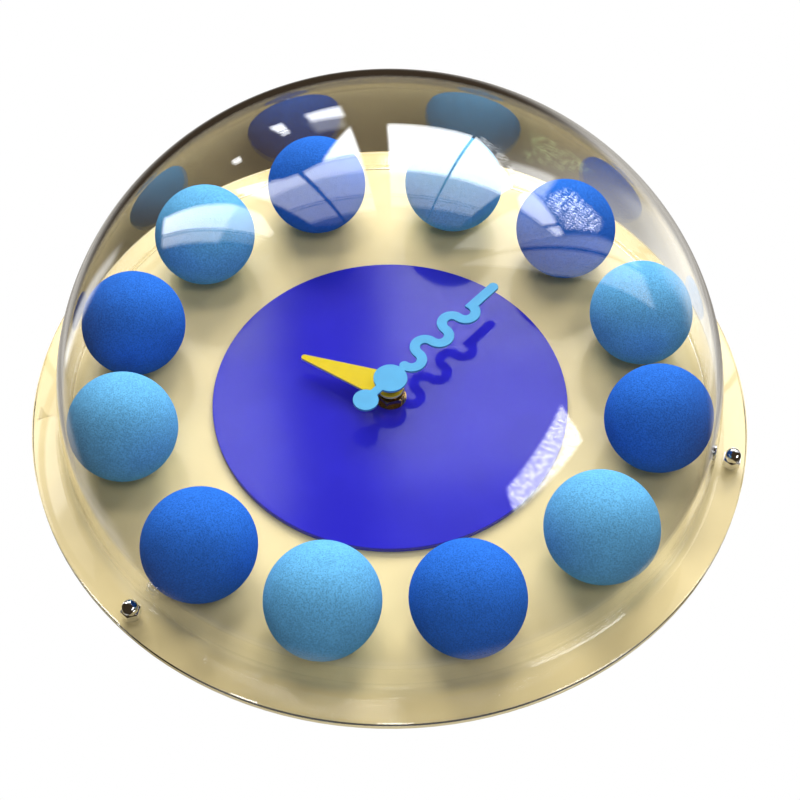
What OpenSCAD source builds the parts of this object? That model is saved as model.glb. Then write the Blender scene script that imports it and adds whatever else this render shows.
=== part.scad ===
// Bubble wall clock: a clear blown dome over a round plate, with twelve foam balls
// for the hours, a glossy centre disc, two hands and a battery movement behind.
// Every module is drawn as the clock lies on its back: X to the right, Y towards
// 12 o'clock, Z from the wall to the viewer. hang_up() then stands it on its wall,
// so +Z points to 12 o'clock, the dial faces -Y and the wall is the plane y = 0.

/* [Back plate] */
// Diameter of the back plate and of the dome's flange
face_d = 350; // [320:1:380]
// Thickness of the back plate
plate_t = 2; // [1.5:0.1:3]

/* [Dome] */
// Width of the flat flange outside the dome's wall
flange_w = 15; // [14:0.5:18]
// Height of the elliptical part of the dome, outside
dome_rise = 141; // [120:1:160]
// Height of the dome's ellipse centre above the plate
dome_skirt = 15; // [12:0.5:25]
// Wall thickness of the dome
dome_wall = 3; // [2:0.1:4]
// Thickness of the flange
flange_t = 3; // [2:0.1:4]
// Fillet between the flange and the dome's wall, outside
root_fillet = 4; // [2:0.5:4.5]

/* [Hour balls] */
// Diameter of a foam ball
ball_d = 51.6; // [40:0.1:52]
// Gap between the balls and the dome's wall
ball_gap = 1.2; // [0.5:0.1:4]
// Share of the photographed clock's uneven ball spacing, 0 for even spacing
unevenness = 1; // [0:0.1:1]
// How far the screw pulls a ball's foot flat against the plate
ball_seat = 0.3; // [0.1:0.05:0.6]
// Thread diameter of the screws that hold the balls
ball_screw_d = 3.5; // [3:0.1:4.5]
// Length of these screws under the head
ball_screw_l = 18; // [14:1:24]
// Head diameter of these screws
ball_screw_head_d = 7; // [6:0.1:8]
// Head height of these screws
ball_screw_head_h = 2.3; // [1.8:0.1:3]
// Diameter of the washers under these heads
ball_washer_d = 9; // [8.5:0.1:12]
// Thickness of these washers
ball_washer_t = 0.8; // [0.5:0.1:1.2]

/* [Flange fastening] */
// Number of cap nuts, the first at 12 o'clock
bolt_count = 3; // [3:1:6]
// Thread diameter of the bolts and cap nuts
bolt_d = 5; // [4:0.5:5]
// Length of the bolts under the head
bolt_l = 12; // [11:0.5:13]
// Head diameter of the bolts
bolt_head_d = 9.5; // [8.5:0.1:10]
// Head height of the bolts
bolt_head_h = 3.7; // [2.5:0.1:4]
// Width across flats of the cap nuts
cap_af = 8; // [7.5:0.1:8]
// Height of the cap nuts
cap_h = 10; // [9.5:0.5:12]
// Height of the cap nuts' six-sided foot
cap_foot_h = 4.5; // [3:0.1:6]
// Diameter of the cap nuts' round top
cap_dome_d = 7.5; // [7:0.1:7.5]
// Diameter of the washers under the bolt heads
bolt_washer_d = 10; // [10:0.1:12]
// Thickness of these washers
bolt_washer_t = 1; // [0.8:0.1:1.2]

/* [Centre disc] */
// Diameter of the glossy centre disc
disc_d = 175; // [140:1:200]
// Thickness of the centre disc
disc_t = 3; // [1:0.1:3]

/* [Hands] */
// Angle of the minute hand, clockwise from 12 o'clock
minute_angle = 58.2; // [0:0.1:359.9]
// Angle of the hour hand, clockwise from 12 o'clock
hour_angle = 310; // [0:0.1:359.9]
// Thickness of both hands
hand_t = 1.4; // [0.8:0.1:2]
// Height of the minute hand's face above the plate's back
minute_height = 20.5; // [20:0.1:24]
// Diameter of the minute hand's hub
minute_hub_d = 16.5; // [14:0.1:18]
// Length of the minute hand from its axis to its tip
minute_reach = 81.2; // [75:0.1:86]
// Width of the minute hand's wavy arm
wave_w = 5.1; // [3.5:0.1:6]
// Length of one full wave of the arm
wave_pitch = 20.5; // [18:0.1:22]
// Number of half waves in the arm
wave_turns = 5; // [3:2:5]
// Distance from the axis to the start of the first half wave
wave_start = 10.4; // [9:0.1:12]
// Diameter of the round counterweight
tail_d = 12.4; // [8:0.1:14]
// Distance from the axis to the counterweight's centre
tail_reach = 17.8; // [15:0.1:22]
// Width of the neck that carries the counterweight
tail_neck_w = 4.2; // [3:0.1:6]
// Length of the hour hand from its axis to its tip
hour_reach = 48; // [40:0.1:60]
// Width of the hour hand's wide end
hour_w = 15.4; // [12:0.1:18]
// Radius of the hour hand's tip
hour_tip_r = 1.55; // [1:0.05:2.5]
// Distance from the axis to the hour hand's wide end
hour_root = 6; // [5:0.1:8]
// Diameter of the hour hand's hub
hour_hub_d = 13; // [12:0.1:14]

/* [Bush and hanger] */
// Thread diameter of the brass bush
bush_d = 8; // [7:0.1:9]
// Height of the bush above the plate's back
bush_rise = 11.3; // [11:0.1:12.2]
// Width across flats of the brass nut
nut_af = 13; // [12:0.1:15]
// Height of the brass nut
nut_h = 4; // [2.5:0.1:5]
// Diameter of the brass washer
nut_washer_d = 16; // [15:0.1:20]
// Thickness of the brass washer
nut_washer_t = 0.6; // [0.4:0.1:1]
// Diameter of the rubber gasket
gasket_d = 20; // [16:0.5:26]
// Thickness of the rubber gasket
gasket_t = 1; // [0.6:0.1:1.5]
// Sheet thickness of the steel hanger
hanger_t = 1; // [0.8:0.1:1.5]
// Width of the hanger
hanger_w = 16; // [14:0.5:24]
// Height of the hanger's keyhole above the hands' axis
keyhole_y = 41; // [40:0.5:50]
// Diameter of the keyhole's round part
keyhole_d = 9; // [8:0.1:10]
// Width of the keyhole's slot
keyhole_slot_w = 4.5; // [4:0.1:5]
// Length of the keyhole's slot above the round part's centre
keyhole_slot_l = 8; // [6.5:0.5:10]

/* [Wall bumpers] */
// Diameter of a rubber bumper
bumper_d = 12; // [8:0.5:16]
// Distance of the bumpers' centres from the plate's edge
bumper_inset = 25; // [20:0.5:30]

/* [Movement case] */
// Height of the movement, from its 6 to its 12 o'clock side
movement_height = 56; // [56:0.5:58]
// Depth of the movement
movement_depth = 16; // [16:0.1:18]
// Side wall thickness
case_wall = 1.4; // [1:0.1:1.6]
// Front wall thickness
front_wall = 1.2; // [1:0.1:1.4]
// Thickness of the back cover
cover_t = 1.2; // [1:0.1:1.4]
// Outer corner radius
case_corner_r = 4; // [3:0.5:6]
// Diameter of the set knob
knob_d = 9; // [7:0.1:10]
// Thickness of the set knob
knob_t = 1.8; // [1.2:0.1:2]

/* [Battery] */
// Diameter of the AA cell
cell_d = 14.5; // [13.5:0.1:14.5]
// Length of the AA cell with its nub
cell_l = 50.5; // [49.5:0.1:50.5]
// Diameter of the cell's nub
nub_d = 5.5; // [5:0.1:6]
// Length of the cell's nub
nub_l = 1; // [0.8:0.1:1.5]
// Height of the dimple that presses on the cell's flat end
dimple_l = 1.3; // [1:0.1:1.6]

/* [Gear train] */
// Tooth module of the train
train_module = 0.2; // [0.19:0.005:0.2]
// Teeth of each pinion in the train
pinion_teeth = 10; // [10:1:10]
// Teeth of the intermediate wheel
intermediate_teeth = 50; // [48:1:50]
// Teeth of the seconds wheel
seconds_teeth = 60; // [58:1:60]
// Teeth of the third wheel
third_teeth = 75; // [73:1:75]
// Teeth of the centre wheel
centre_teeth = 80; // [78:1:82]
// Thickness of the wheels
wheel_t = 0.8; // [0.6:0.05:0.9]
// Diameter of the wheels' arbors
arbor_d = 1.2; // [1:0.05:1.3]
// Diameter of the arbors' pivots
pivot_d = 0.8; // [0.6:0.05:0.9]
// Direction from the centre to the third arbor
third_dir = 150; // [148:1:152]
// Direction from the third arbor to the seconds arbor
seconds_dir = 110; // [108:1:112]
// Direction from the seconds arbor to the intermediate arbor
intermediate_dir = 10; // [8:1:12]
// Direction from the intermediate arbor to the rotor
rotor_dir = 15; // [13:1:17]

/* [Motion works] */
// Tooth module of the cannon pinion and works wheel
works_module = 0.5; // [0.48:0.01:0.5]
// Teeth of the cannon pinion
cannon_teeth = 12; // [12:1:12]
// Teeth of the works wheel
works_teeth = 36; // [36:1:36]
// Teeth of the works pinion
works_pinion_teeth = 12; // [12:1:12]
// Teeth of the hour wheel
hour_teeth = 48; // [48:1:48]
// Direction from the centre to the works arbor
works_dir = 20; // [15:1:25]
// Diameter of the minute arbor
minute_arbor_d = 3; // [2.8:0.1:3.2]
// Diameter of the hour wheel's pipe
pipe_d = 5.2; // [5:0.1:5.6]

/* [Fits] */
// Radial running clearance of shafts in their holes
run_gap = 0.05; // [0.03:0.01:0.1]
// Radial gap of pressed and threaded joints
press_gap = 0.02; // [0.01:0.01:0.05]
// Gap round loose fitting pieces
loose_gap = 0.2; // [0.1:0.05:0.3]
// Axial gap of running parts
side_gap = 0.1; // [0.05:0.05:0.2]
// Radial clearance of bolts in their holes
bolt_gap = 0.25; // [0.15:0.05:0.5]

/* [Hidden] */

// Smoothness of round shapes
$fn = 96;
// Points along the dome's ellipse
dome_steps = 48;
// Pressure angle of every gear
pressure = 20;
// Addendum shift of pinions, taken off their wheels
pinion_shift = 0.4;
// Tooth thinning of each gear, as a share of the module
backlash = 0.14;

// Rings that follow from the clock's diameter
dome_r = face_d / 2 - flange_w;
ball_ring_r = dome_r - dome_wall - ball_gap - ball_d / 2;
bolt_ring_r = dome_r + root_fillet + cap_af / 2;
bumper_ring_r = face_d / 2 - bumper_inset;
// Degrees by which each ball stands clockwise of its hour, from 1 to 12 o'clock
ball_stray = [1.5, 1, 0.5, -0.5, 0, 1.5, -0.5, -3, 1, -1, -1, -1];

// Heights above the wall, from the wall outwards
plate_back = movement_depth + hanger_t + gasket_t;
plate_front = plate_back + plate_t;
disc_front = plate_front + disc_t;
nut_base = disc_front + nut_washer_t;
bush_top = plate_back + bush_rise;
flange_front = plate_front + flange_t;
dome_centre = plate_front + dome_skirt;
front_inner = movement_depth - front_wall;

// Hands
minute_front = plate_back + minute_height;
minute_back = minute_front - hand_t;
socket_flange_t = 0.5;
hour_back = bush_top + side_gap + socket_flange_t;
hour_front = hour_back + hand_t;
hour_socket_top = hour_front + 0.2;
minute_socket_base = hour_socket_top + 0.5;
minute_arbor_top = minute_back - socket_flange_t - 0.4;
bar_tip_r = wave_w / 2;
wave_r = wave_pitch / 4;
wave_end = wave_start + wave_turns * wave_pitch / 2;

// Battery bay and gear room inside the case, which is as wide as the cell needs
contact_t = 0.4;
contact_gap = 0.1;
movement_width = cell_l + dimple_l + 2 * (case_wall + contact_gap + contact_t + loose_gap);
half_w = movement_width / 2;
half_h = movement_height / 2;
room_w = half_w - case_wall;
room_h = half_h - case_wall;
cell_gap = 0.35;
cell_y = -room_h + cell_gap + cell_d / 2;
rib_low = cell_y + cell_d / 2 + cell_gap;
rib_t = 1;
rib_high = rib_low + rib_t;
cell_z = 0.4 + cell_d / 2;
bay_front = cell_z + cell_d / 2 + 0.3;
contact_x = room_w - contact_gap - contact_t;
cell_right = contact_x - loose_gap;
cell_left = cell_right - cell_l;
contact_low_z = 5;
contact_w = 9;
contact_foot = 2.6;
contact_tab_l = 4;
contact_tab_w = 3;
contact_edge = 1.3;
contact_bump_r = 4.4;
contact_tip_r = 2.5;
notch_w = 20;
notch_h = 6;

// Levels of the gear train
level_gap = 0.6;
train_z = cover_t + 3.4;
seconds_z = train_z + wheel_t + level_gap;
third_z = seconds_z + wheel_t + level_gap;
train_plate_t = 1.2;
train_plate_z = third_z + wheel_t + 0.7;
train_plate_top = train_plate_z + train_plate_t;
cannon_z = train_plate_top + 0.3;
works_z = cannon_z + 0.3;
cannon_t = 1.5;
hour_z = cannon_z + cannon_t + 0.7;
works_pinion_top = hour_z + wheel_t + 0.2;
bush_flange_t = 0.6;
pivot_l = 1.1;
boss_top = cover_t + 1.2;
shoulder_low = boss_top + side_gap;
shoulder_high = train_plate_z - side_gap;
centre_boss_top = train_z - 2 * side_gap;
clutch_t = 0.4;
hub_z = train_z + wheel_t + 0.2;
centre_hub_d = 4.4;
rear_arbor_d = 2;

// Places of the arbors, from the tooth counts
third_at = polar(train_module * (pinion_teeth + centre_teeth) / 2, third_dir);
seconds_at = third_at + polar(train_module * (pinion_teeth + third_teeth) / 2, seconds_dir);
intermediate_at = seconds_at
    + polar(train_module * (pinion_teeth + seconds_teeth) / 2, intermediate_dir);
rotor_at = intermediate_at
    + polar(train_module * (pinion_teeth + intermediate_teeth) / 2, rotor_dir);
works_at = polar(works_module * (cannon_teeth + works_teeth) / 2, works_dir);
hour_module = works_module * (cannon_teeth + works_teeth) / (works_pinion_teeth + hour_teeth);

// Motor
stator_z = cover_t + 2;
stator_t = 0.8;
core_t = 0.8;
core_w = 3;
magnet_d = 5;
magnet_t = 1.6;
magnet_z = stator_z + stator_t / 2 - magnet_t / 2;
stator_bore_r = magnet_d / 2 + 0.6;
stator_low = rotor_at[1] - 4.1;
stator_high = rotor_at[1] + 4.5;
arm_w = 4.5;
arm_left = -11.5;
arm_right = 15.5;
coil_y = room_h - 3.4;
core_z = stator_z + stator_t;
coil_z = core_z + core_t / 2;
bobbin_left = arm_left + arm_w + 0.4;
bobbin_right = arm_right - arm_w - 0.4;
bobbin_flange_t = 1;
bobbin_half = 2.8;
winding_r = 2.7;
clamp_posts = [[arm_left + arm_w / 2, coil_y], [arm_right - arm_w / 2, coil_y]];
clamp_post_r = 1.5;
clamp_collar_r = clamp_post_r + 1;

// Circuit board
board_t = 1;
board_z = train_plate_z;
board_w = 8;
board_gap = 0.4;
board_high = room_h - board_gap;
board_low = board_high - board_w;
board_half = room_w - 2.6;
contact_end_y = board_low + contact_tab_w + contact_edge;

// Train plate and its posts
train_plate_low = rib_high + 1.9;
train_plate_high = board_low - 0.7;
train_plate_left = -23;
train_plate_right = room_w - 1.6;
train_post_left = train_plate_left + 3;
train_post_right = train_plate_right - 2.5;
train_posts = [[train_post_left, train_plate_low + 2.5], [train_post_right, train_plate_low + 2.5],
    [train_post_left, train_plate_high - 3.5], [train_post_right, train_plate_high - 3]];
train_post_r = 2;
train_pin_r = 1;

// Set knob
knob_z = 0.4;
knob_well_r = knob_d / 2 + 0.7;
knob_well_wall = 0.8;
knob_floor_z = knob_z + knob_t + 0.4;
knob_floor_t = 0.8;

// Hanger
hanger_bend_y = half_h + 2;
hanger_top_y = keyhole_y + keyhole_slot_l + 5;
hanger_low_y = -hanger_w / 2;

// Directions and places
function polar(r, a) = [r * cos(a), r * sin(a)];
function clock_place(r, a) = [r * sin(a), r * cos(a)];
function ball_angle(h) = 30 * h + unevenness * ball_stray[h - 1];
function bolt_angle(k) = 360 * k / bolt_count;
function hex_d(af) = af / cos(30);

// Involute tooth outline
function involute(a) = tan(a) * 180 / PI - a;
function tooth_half(m, teeth, shift, rho) =
    let (r = m * teeth / 2)
    let (base = r * cos(pressure))
    let (width = m * (PI / 2 + 2 * shift * tan(pressure) - backlash))
    let (a = rho > base ? acos(base / rho) : 0)
    width / (2 * r) * 180 / PI + involute(pressure) - involute(a);
function flank_radii(m, teeth, shift) =
    let (r = m * teeth / 2)
    let (base = r * cos(pressure))
    let (root = r - m * (1.25 - shift))
    let (tip = r + m * (1 + shift))
    teeth > 20 ? [root, tip] : [root, max(base, root + 0.05 * m), r, (r + tip) / 2, tip];
function gear_outline(m, teeth, shift) =
    let (radii = flank_radii(m, teeth, shift))
    let (n = len(radii))
    [for (k = [0:teeth - 1])
        for (i = [0:2 * n - 1])
            let (j = i < n ? i : 2 * n - 1 - i)
            let (side = i < n ? -1 : 1)
            polar(radii[j], 360 * k / teeth + side * tooth_half(m, teeth, shift, radii[j]))];

// The dome's half section, as points of radius and height
function ellipse_arc(a, b, start, stop) =
    [for (i = [0:dome_steps])
        let (t = start + (stop - start) * i / dome_steps)
        [a * cos(t), dome_centre + b * sin(t)]];
function fillet_arc(r, start, stop) =
    [for (i = [0:8])
        let (t = start + (stop - start) * i / 8)
        [dome_r + root_fillet + r * cos(t), flange_front + root_fillet + r * sin(t)]];
function dome_section() = concat(
    [[face_d / 2, plate_front], [face_d / 2, flange_front]],
    fillet_arc(root_fillet, 270, 180),
    ellipse_arc(dome_r, dome_rise, 0, 90),
    ellipse_arc(dome_r - dome_wall, dome_rise - dome_wall, 90, 0),
    fillet_arc(root_fillet + flange_t, 180, 270));

// Stands the clock up on its wall
module hang_up() {
    rotate([90, 0, 0]) children();
}

module ring(r_out, r_in, z, h) {
    translate([0, 0, z]) difference() {
        cylinder(r = r_out, h = h);
        translate([0, 0, -1]) cylinder(r = r_in, h = h + 2);
    }
}

module rounded_square(w, h, r) {
    translate([r, 0]) square([w - 2 * r, h]);
    translate([0, r]) square([w, h - 2 * r]);
    for (x = [r, w - r])
        for (y = [r, h - r])
            translate([x, y]) circle(r = r);
}

// A gear with tooth k = 0 towards the given direction
module gear(m, teeth, shift, z, h, direction) {
    translate([0, 0, z])
        linear_extrude(height = h)
            rotate(direction) polygon(gear_outline(m, teeth, shift));
}

// A wheel whose tooth gap looks towards the given direction
module wheel(m, teeth, z, h, direction) {
    gear(m, teeth, -pinion_shift, z, h, direction + 180 / teeth);
}

module at(place) {
    translate([place[0], place[1], 0]) children();
}

module on_clock(r, a) {
    at(clock_place(r, a)) children();
}

module back_plate() {
    color("wheat") hang_up() difference() {
        translate([0, 0, plate_back]) cylinder(d = face_d, h = plate_t, $fn = 180);
        translate([0, 0, plate_back - 1])
            cylinder(r = bush_d / 2 + loose_gap, h = plate_t + 2);
        for (h = [1:12])
            on_clock(ball_ring_r, ball_angle(h)) translate([0, 0, plate_back - 1])
                cylinder(r = ball_screw_d / 2 + loose_gap, h = plate_t + 2);
        for (k = [0:bolt_count - 1])
            on_clock(bolt_ring_r, bolt_angle(k)) translate([0, 0, plate_back - 1])
                cylinder(r = bolt_d / 2 + bolt_gap, h = plate_t + 2);
    }
}

module dial_disc() {
    color("mediumblue") hang_up()
        ring(disc_d / 2, bush_d / 2 + loose_gap, plate_front, disc_t, $fn = 180);
}

module dome() {
    color("white", 0.3) hang_up() difference() {
        rotate_extrude($fn = 180) polygon(dome_section());
        for (k = [0:bolt_count - 1])
            on_clock(bolt_ring_r, bolt_angle(k)) translate([0, 0, plate_front - 1])
                cylinder(r = bolt_d / 2 + bolt_gap, h = flange_t + 2);
    }
}

// One hour's foam ball, flat where its screw pulls it down
module hour_ball(h) {
    bore_l = ball_screw_l - ball_washer_t - plate_t + 1;
    ball_z = plate_front + ball_d / 2 - ball_seat;
    color(h % 2 == 0 ? "royalblue" : "skyblue") hang_up()
        on_clock(ball_ring_r, ball_angle(h)) difference() {
            translate([0, 0, ball_z]) sphere(d = ball_d);
            translate([-ball_d, -ball_d, plate_front - ball_d])
                cube([2 * ball_d, 2 * ball_d, ball_d]);
            translate([0, 0, plate_front - 1])
                cylinder(r = ball_screw_d / 2 + run_gap, h = bore_l + 1);
        }
}

module ball_screws() {
    seat = plate_back - ball_washer_t;
    color("silver") hang_up() for (h = [1:12])
        on_clock(ball_ring_r, ball_angle(h)) {
            translate([0, 0, seat]) cylinder(d = ball_screw_d, h = ball_screw_l - 3);
            translate([0, 0, seat + ball_screw_l - 3])
                cylinder(d1 = ball_screw_d, d2 = 0.4, h = 3);
            difference() {
                translate([0, 0, seat - ball_screw_head_h])
                    cylinder(d = ball_screw_head_d, h = ball_screw_head_h);
                for (a = [0, 90])
                    rotate(a) translate([-2, -0.45, seat - ball_screw_head_h - 1])
                        cube([4, 0.9, 2.2]);
            }
        }
}

module ball_screw_washers() {
    color("gainsboro") hang_up() for (h = [1:12])
        on_clock(ball_ring_r, ball_angle(h))
            ring(ball_washer_d / 2, ball_screw_d / 2 + loose_gap,
                plate_back - ball_washer_t, ball_washer_t);
}

module cap_nuts() {
    color("silver") hang_up() for (k = [0:bolt_count - 1])
        on_clock(bolt_ring_r, bolt_angle(k)) difference() {
            union() {
                translate([0, 0, flange_front])
                    rotate(-bolt_angle(k))
                        cylinder(d = hex_d(cap_af), h = cap_foot_h, $fn = 6);
                translate([0, 0, flange_front + cap_foot_h - 0.5])
                    cylinder(d = cap_dome_d, h = cap_h - cap_foot_h - cap_dome_d / 2 + 0.5);
                translate([0, 0, flange_front + cap_h - cap_dome_d / 2]) difference() {
                    sphere(d = cap_dome_d);
                    translate([0, 0, -cap_dome_d]) cylinder(d = 2 * cap_dome_d, h = cap_dome_d);
                }
            }
            translate([0, 0, flange_front - 1])
                cylinder(r = bolt_d / 2 + press_gap, h = cap_h - 1);
        }
}

module flange_bolts() {
    seat = plate_back - bolt_washer_t;
    color("silver") hang_up() for (k = [0:bolt_count - 1])
        on_clock(bolt_ring_r, bolt_angle(k)) difference() {
            union() {
                translate([0, 0, seat]) cylinder(d = bolt_d, h = bolt_l);
                translate([0, 0, seat - bolt_head_h]) cylinder(d = bolt_head_d, h = bolt_head_h);
            }
            for (a = [0, 90])
                rotate(a) translate([-2.4, -0.6, seat - bolt_head_h - 1]) cube([4.8, 1.2, 2.8]);
        }
}

module flange_bolt_washers() {
    color("gainsboro") hang_up() for (k = [0:bolt_count - 1])
        on_clock(bolt_ring_r, bolt_angle(k))
            ring(bolt_washer_d / 2, bolt_d / 2 + bolt_gap,
                plate_back - bolt_washer_t, bolt_washer_t);
}

module wall_bumpers() {
    color("dimgray") hang_up() for (a = [150, 210])
        on_clock(bumper_ring_r, a) {
            cylinder(d1 = bumper_d - 2, d2 = bumper_d, h = 1);
            translate([0, 0, 1]) cylinder(d = bumper_d, h = plate_back - 1);
        }
}

// Steel strip that is held by the bush and bends back to the wall
module hanger_bracket() {
    color("lightsteelblue") hang_up() difference() {
        union() {
            translate([0, 0, movement_depth]) linear_extrude(height = hanger_t) {
                circle(d = hanger_w);
                translate([-hanger_w / 2, 0]) square([hanger_w, hanger_bend_y + hanger_t]);
            }
            translate([-hanger_w / 2, hanger_bend_y, 0])
                cube([hanger_w, hanger_t, movement_depth + hanger_t]);
            translate([0, hanger_bend_y, 0]) linear_extrude(height = hanger_t) {
                translate([-hanger_w / 2, 0])
                    square([hanger_w, hanger_top_y - hanger_bend_y - 4]);
                translate([-hanger_w / 2, 0])
                    rounded_square(hanger_w, hanger_top_y - hanger_bend_y, 4);
            }
        }
        translate([0, 0, movement_depth - 1])
            cylinder(r = bush_d / 2 + loose_gap, h = hanger_t + 2);
        translate([0, keyhole_y, -1]) cylinder(d = keyhole_d, h = hanger_t + 2);
        translate([0, keyhole_y + keyhole_slot_l - keyhole_slot_w / 2, -1])
            cylinder(d = keyhole_slot_w, h = hanger_t + 2);
        translate([-keyhole_slot_w / 2, keyhole_y, -1])
            cube([keyhole_slot_w, keyhole_slot_l - keyhole_slot_w / 2, hanger_t + 2]);
    }
}

module rubber_gasket() {
    color("dimgray") hang_up()
        ring(gasket_d / 2, bush_d / 2 + loose_gap, movement_depth + hanger_t, gasket_t);
}

// Brass tube with a flange inside the case, through which the hour pipe runs
module threaded_bush() {
    bore = pipe_d / 2 + run_gap;
    color("goldenrod") hang_up() difference() {
        union() {
            translate([0, 0, front_inner - bush_flange_t])
                cylinder(r = bush_d / 2 + 2, h = bush_flange_t);
            translate([0, 0, front_inner])
                cylinder(d = bush_d, h = bush_top - front_inner - 0.5);
            translate([0, 0, bush_top - 0.5]) cylinder(d1 = bush_d, d2 = bush_d - 1, h = 0.5);
        }
        translate([0, 0, front_inner - bush_flange_t - 1])
            cylinder(r = bore, h = bush_top - front_inner + bush_flange_t + 2);
    }
}

module bush_nut() {
    color("goldenrod") hang_up() difference() {
        intersection() {
            translate([0, 0, nut_base]) cylinder(d = hex_d(nut_af), h = nut_h, $fn = 6);
            translate([0, 0, nut_base])
                cylinder(r1 = hex_d(nut_af) / 2 + nut_h - 0.6, r2 = hex_d(nut_af) / 2 - 0.6,
                    h = nut_h);
        }
        translate([0, 0, nut_base - 1]) cylinder(r = bush_d / 2 + press_gap, h = nut_h + 2);
    }
}

module bush_washer() {
    color("gold") hang_up()
        ring(nut_washer_d / 2, bush_d / 2 + loose_gap, disc_front, nut_washer_t);
}

// The room inside the case walls, as an outline
module room_outline() {
    translate([-room_w, -room_h])
        rounded_square(2 * room_w, 2 * room_h, case_corner_r - case_wall);
}

module gear_room_outline(gap) {
    intersection() {
        offset_room(gap);
        translate([-room_w, rib_high + gap]) square([2 * room_w, 2 * room_h]);
    }
}

module offset_room(gap) {
    translate([gap - room_w, gap - room_h])
        rounded_square(2 * (room_w - gap), 2 * (room_h - gap), case_corner_r - case_wall - gap);
}

module movement_case() {
    window_low = works_at[1] + 1;
    color("dimgray") hang_up() difference() {
        union() {
            difference() {
                translate([-half_w, -half_h, 0]) linear_extrude(height = movement_depth)
                    rounded_square(movement_width, movement_height, case_corner_r);
                translate([0, 0, -1]) linear_extrude(height = front_inner + 1)
                    gear_room_outline(0);
                translate([0, 0, -1]) linear_extrude(height = bay_front + 1)
                    intersection() {
                        room_outline();
                        translate([-room_w, -room_h]) square([2 * room_w, rib_low + room_h]);
                    }
            }
            for (p = clamp_posts)
                at(p) {
                    translate([0, 0, core_z + core_t])
                        cylinder(r = clamp_post_r, h = front_inner - core_z - core_t);
                    translate([0, 0, board_z + board_t])
                        cylinder(r = clamp_collar_r, h = front_inner - board_z - board_t);
                }
            for (p = train_posts)
                at(p) {
                    translate([0, 0, train_plate_top])
                        cylinder(r = train_post_r, h = front_inner - train_plate_top);
                    translate([0, 0, train_plate_z - 1])
                        cylinder(r = train_pin_r, h = front_inner - train_plate_z + 1);
                }
            at(works_at) translate([0, 0, works_pinion_top + side_gap])
                cylinder(r = 1.8, h = front_inner - works_pinion_top - side_gap);
        }
        translate([0, 0, front_inner - 1]) cylinder(r = bush_d / 2 + press_gap, h = front_wall + 2);
        at(works_at) translate([0, 0, works_pinion_top])
            cylinder(r = pivot_d / 2 + run_gap, h = front_inner - works_pinion_top + 0.4);
        for (side = [-1, 1])
            translate([side * room_w, window_low, knob_floor_z - 0.6])
                translate([-3, 0, 0]) cube([6, 6, 1.6]);
        for (side = [-1, 1])
            translate([side * (room_w - 0.5), rib_low - 1, contact_low_z - loose_gap])
                translate([-0.5, 0, 0])
                    cube([1, rib_t + 2, board_z - contact_low_z + 2 * loose_gap]);
        translate([-notch_w / 2, -half_h - 1, -1]) cube([notch_w, case_wall + 2, notch_h + 1]);
    }
}

// Back cover with the bearing bosses, the posts and the well of the set knob
module movement_cover() {
    window_low = works_at[1] + 1;
    color("black") hang_up() difference() {
        union() {
            linear_extrude(height = cover_t) gear_room_outline(loose_gap);
            for (p = [third_at, seconds_at, intermediate_at, rotor_at])
                at(p) cylinder(r = 1.4, h = boss_top);
            cylinder(r = 2.4, h = centre_boss_top);
            for (p = clamp_posts)
                at(p) cylinder(r = clamp_post_r, h = stator_z);
            for (p = train_posts)
                at(p) cylinder(r = train_post_r, h = train_plate_z);
            at(works_at)
                cylinder(r = knob_well_r + knob_well_wall, h = knob_floor_z + knob_floor_t);
            for (side = [-1, 1]) {
                translate([side * (room_w - 0.7) - 0.5, window_low + 0.3, 0])
                    cube([1, 5.4, knob_floor_z + 1.4]);
                translate([side * (room_w + 0.1) - 0.6, window_low + 0.3, knob_floor_z - 0.4])
                    cube([1.2, 5.4, 1.2]);
            }
        }
        for (p = [third_at, seconds_at, intermediate_at, rotor_at])
            at(p) translate([0, 0, boss_top - pivot_l - 0.2])
                cylinder(r = pivot_d / 2 + run_gap, h = pivot_l + 1);
        translate([0, 0, 0.8]) cylinder(r = rear_arbor_d / 2 + run_gap, h = centre_boss_top);
        for (p = train_posts)
            at(p) translate([0, 0, train_plate_z - 1.2])
                cylinder(r = train_pin_r + run_gap, h = 2);
        at(works_at) {
            translate([0, 0, -1]) cylinder(r = knob_well_r, h = knob_floor_z + 1);
            cylinder(r = rear_arbor_d / 2 + run_gap, h = 10);
        }
    }
}

module train_plate() {
    color("gainsboro") hang_up() difference() {
        translate([train_plate_left, train_plate_low, train_plate_z])
            linear_extrude(height = train_plate_t)
                rounded_square(train_plate_right - train_plate_left,
                    train_plate_high - train_plate_low, 2);
        for (p = [third_at, seconds_at, intermediate_at, rotor_at])
            at(p) translate([0, 0, train_plate_z - 1])
                cylinder(r = pivot_d / 2 + run_gap, h = train_plate_t + 2);
        for (p = [[0, 0], works_at])
            at(p) translate([0, 0, train_plate_z - 1])
                cylinder(r = rear_arbor_d / 2 + run_gap, h = train_plate_t + 2);
        for (p = train_posts)
            at(p) translate([0, 0, train_plate_z - 1])
                cylinder(r = train_pin_r + run_gap, h = train_plate_t + 2);
    }
}

// AA cell with its nub to the right
module battery() {
    can_l = cell_l - nub_l;
    color("darkorange") hang_up()
        translate([cell_left, cell_y, cell_z]) rotate([0, 90, 0])
            rotate_extrude() polygon([[0, 0], [cell_d / 2 - 0.5, 0], [cell_d / 2, 0.5],
                [cell_d / 2, can_l - 0.5], [cell_d / 2 - 0.5, can_l],
                [nub_d / 2, can_l], [nub_d / 2, cell_l], [0, cell_l]]);
}

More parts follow.
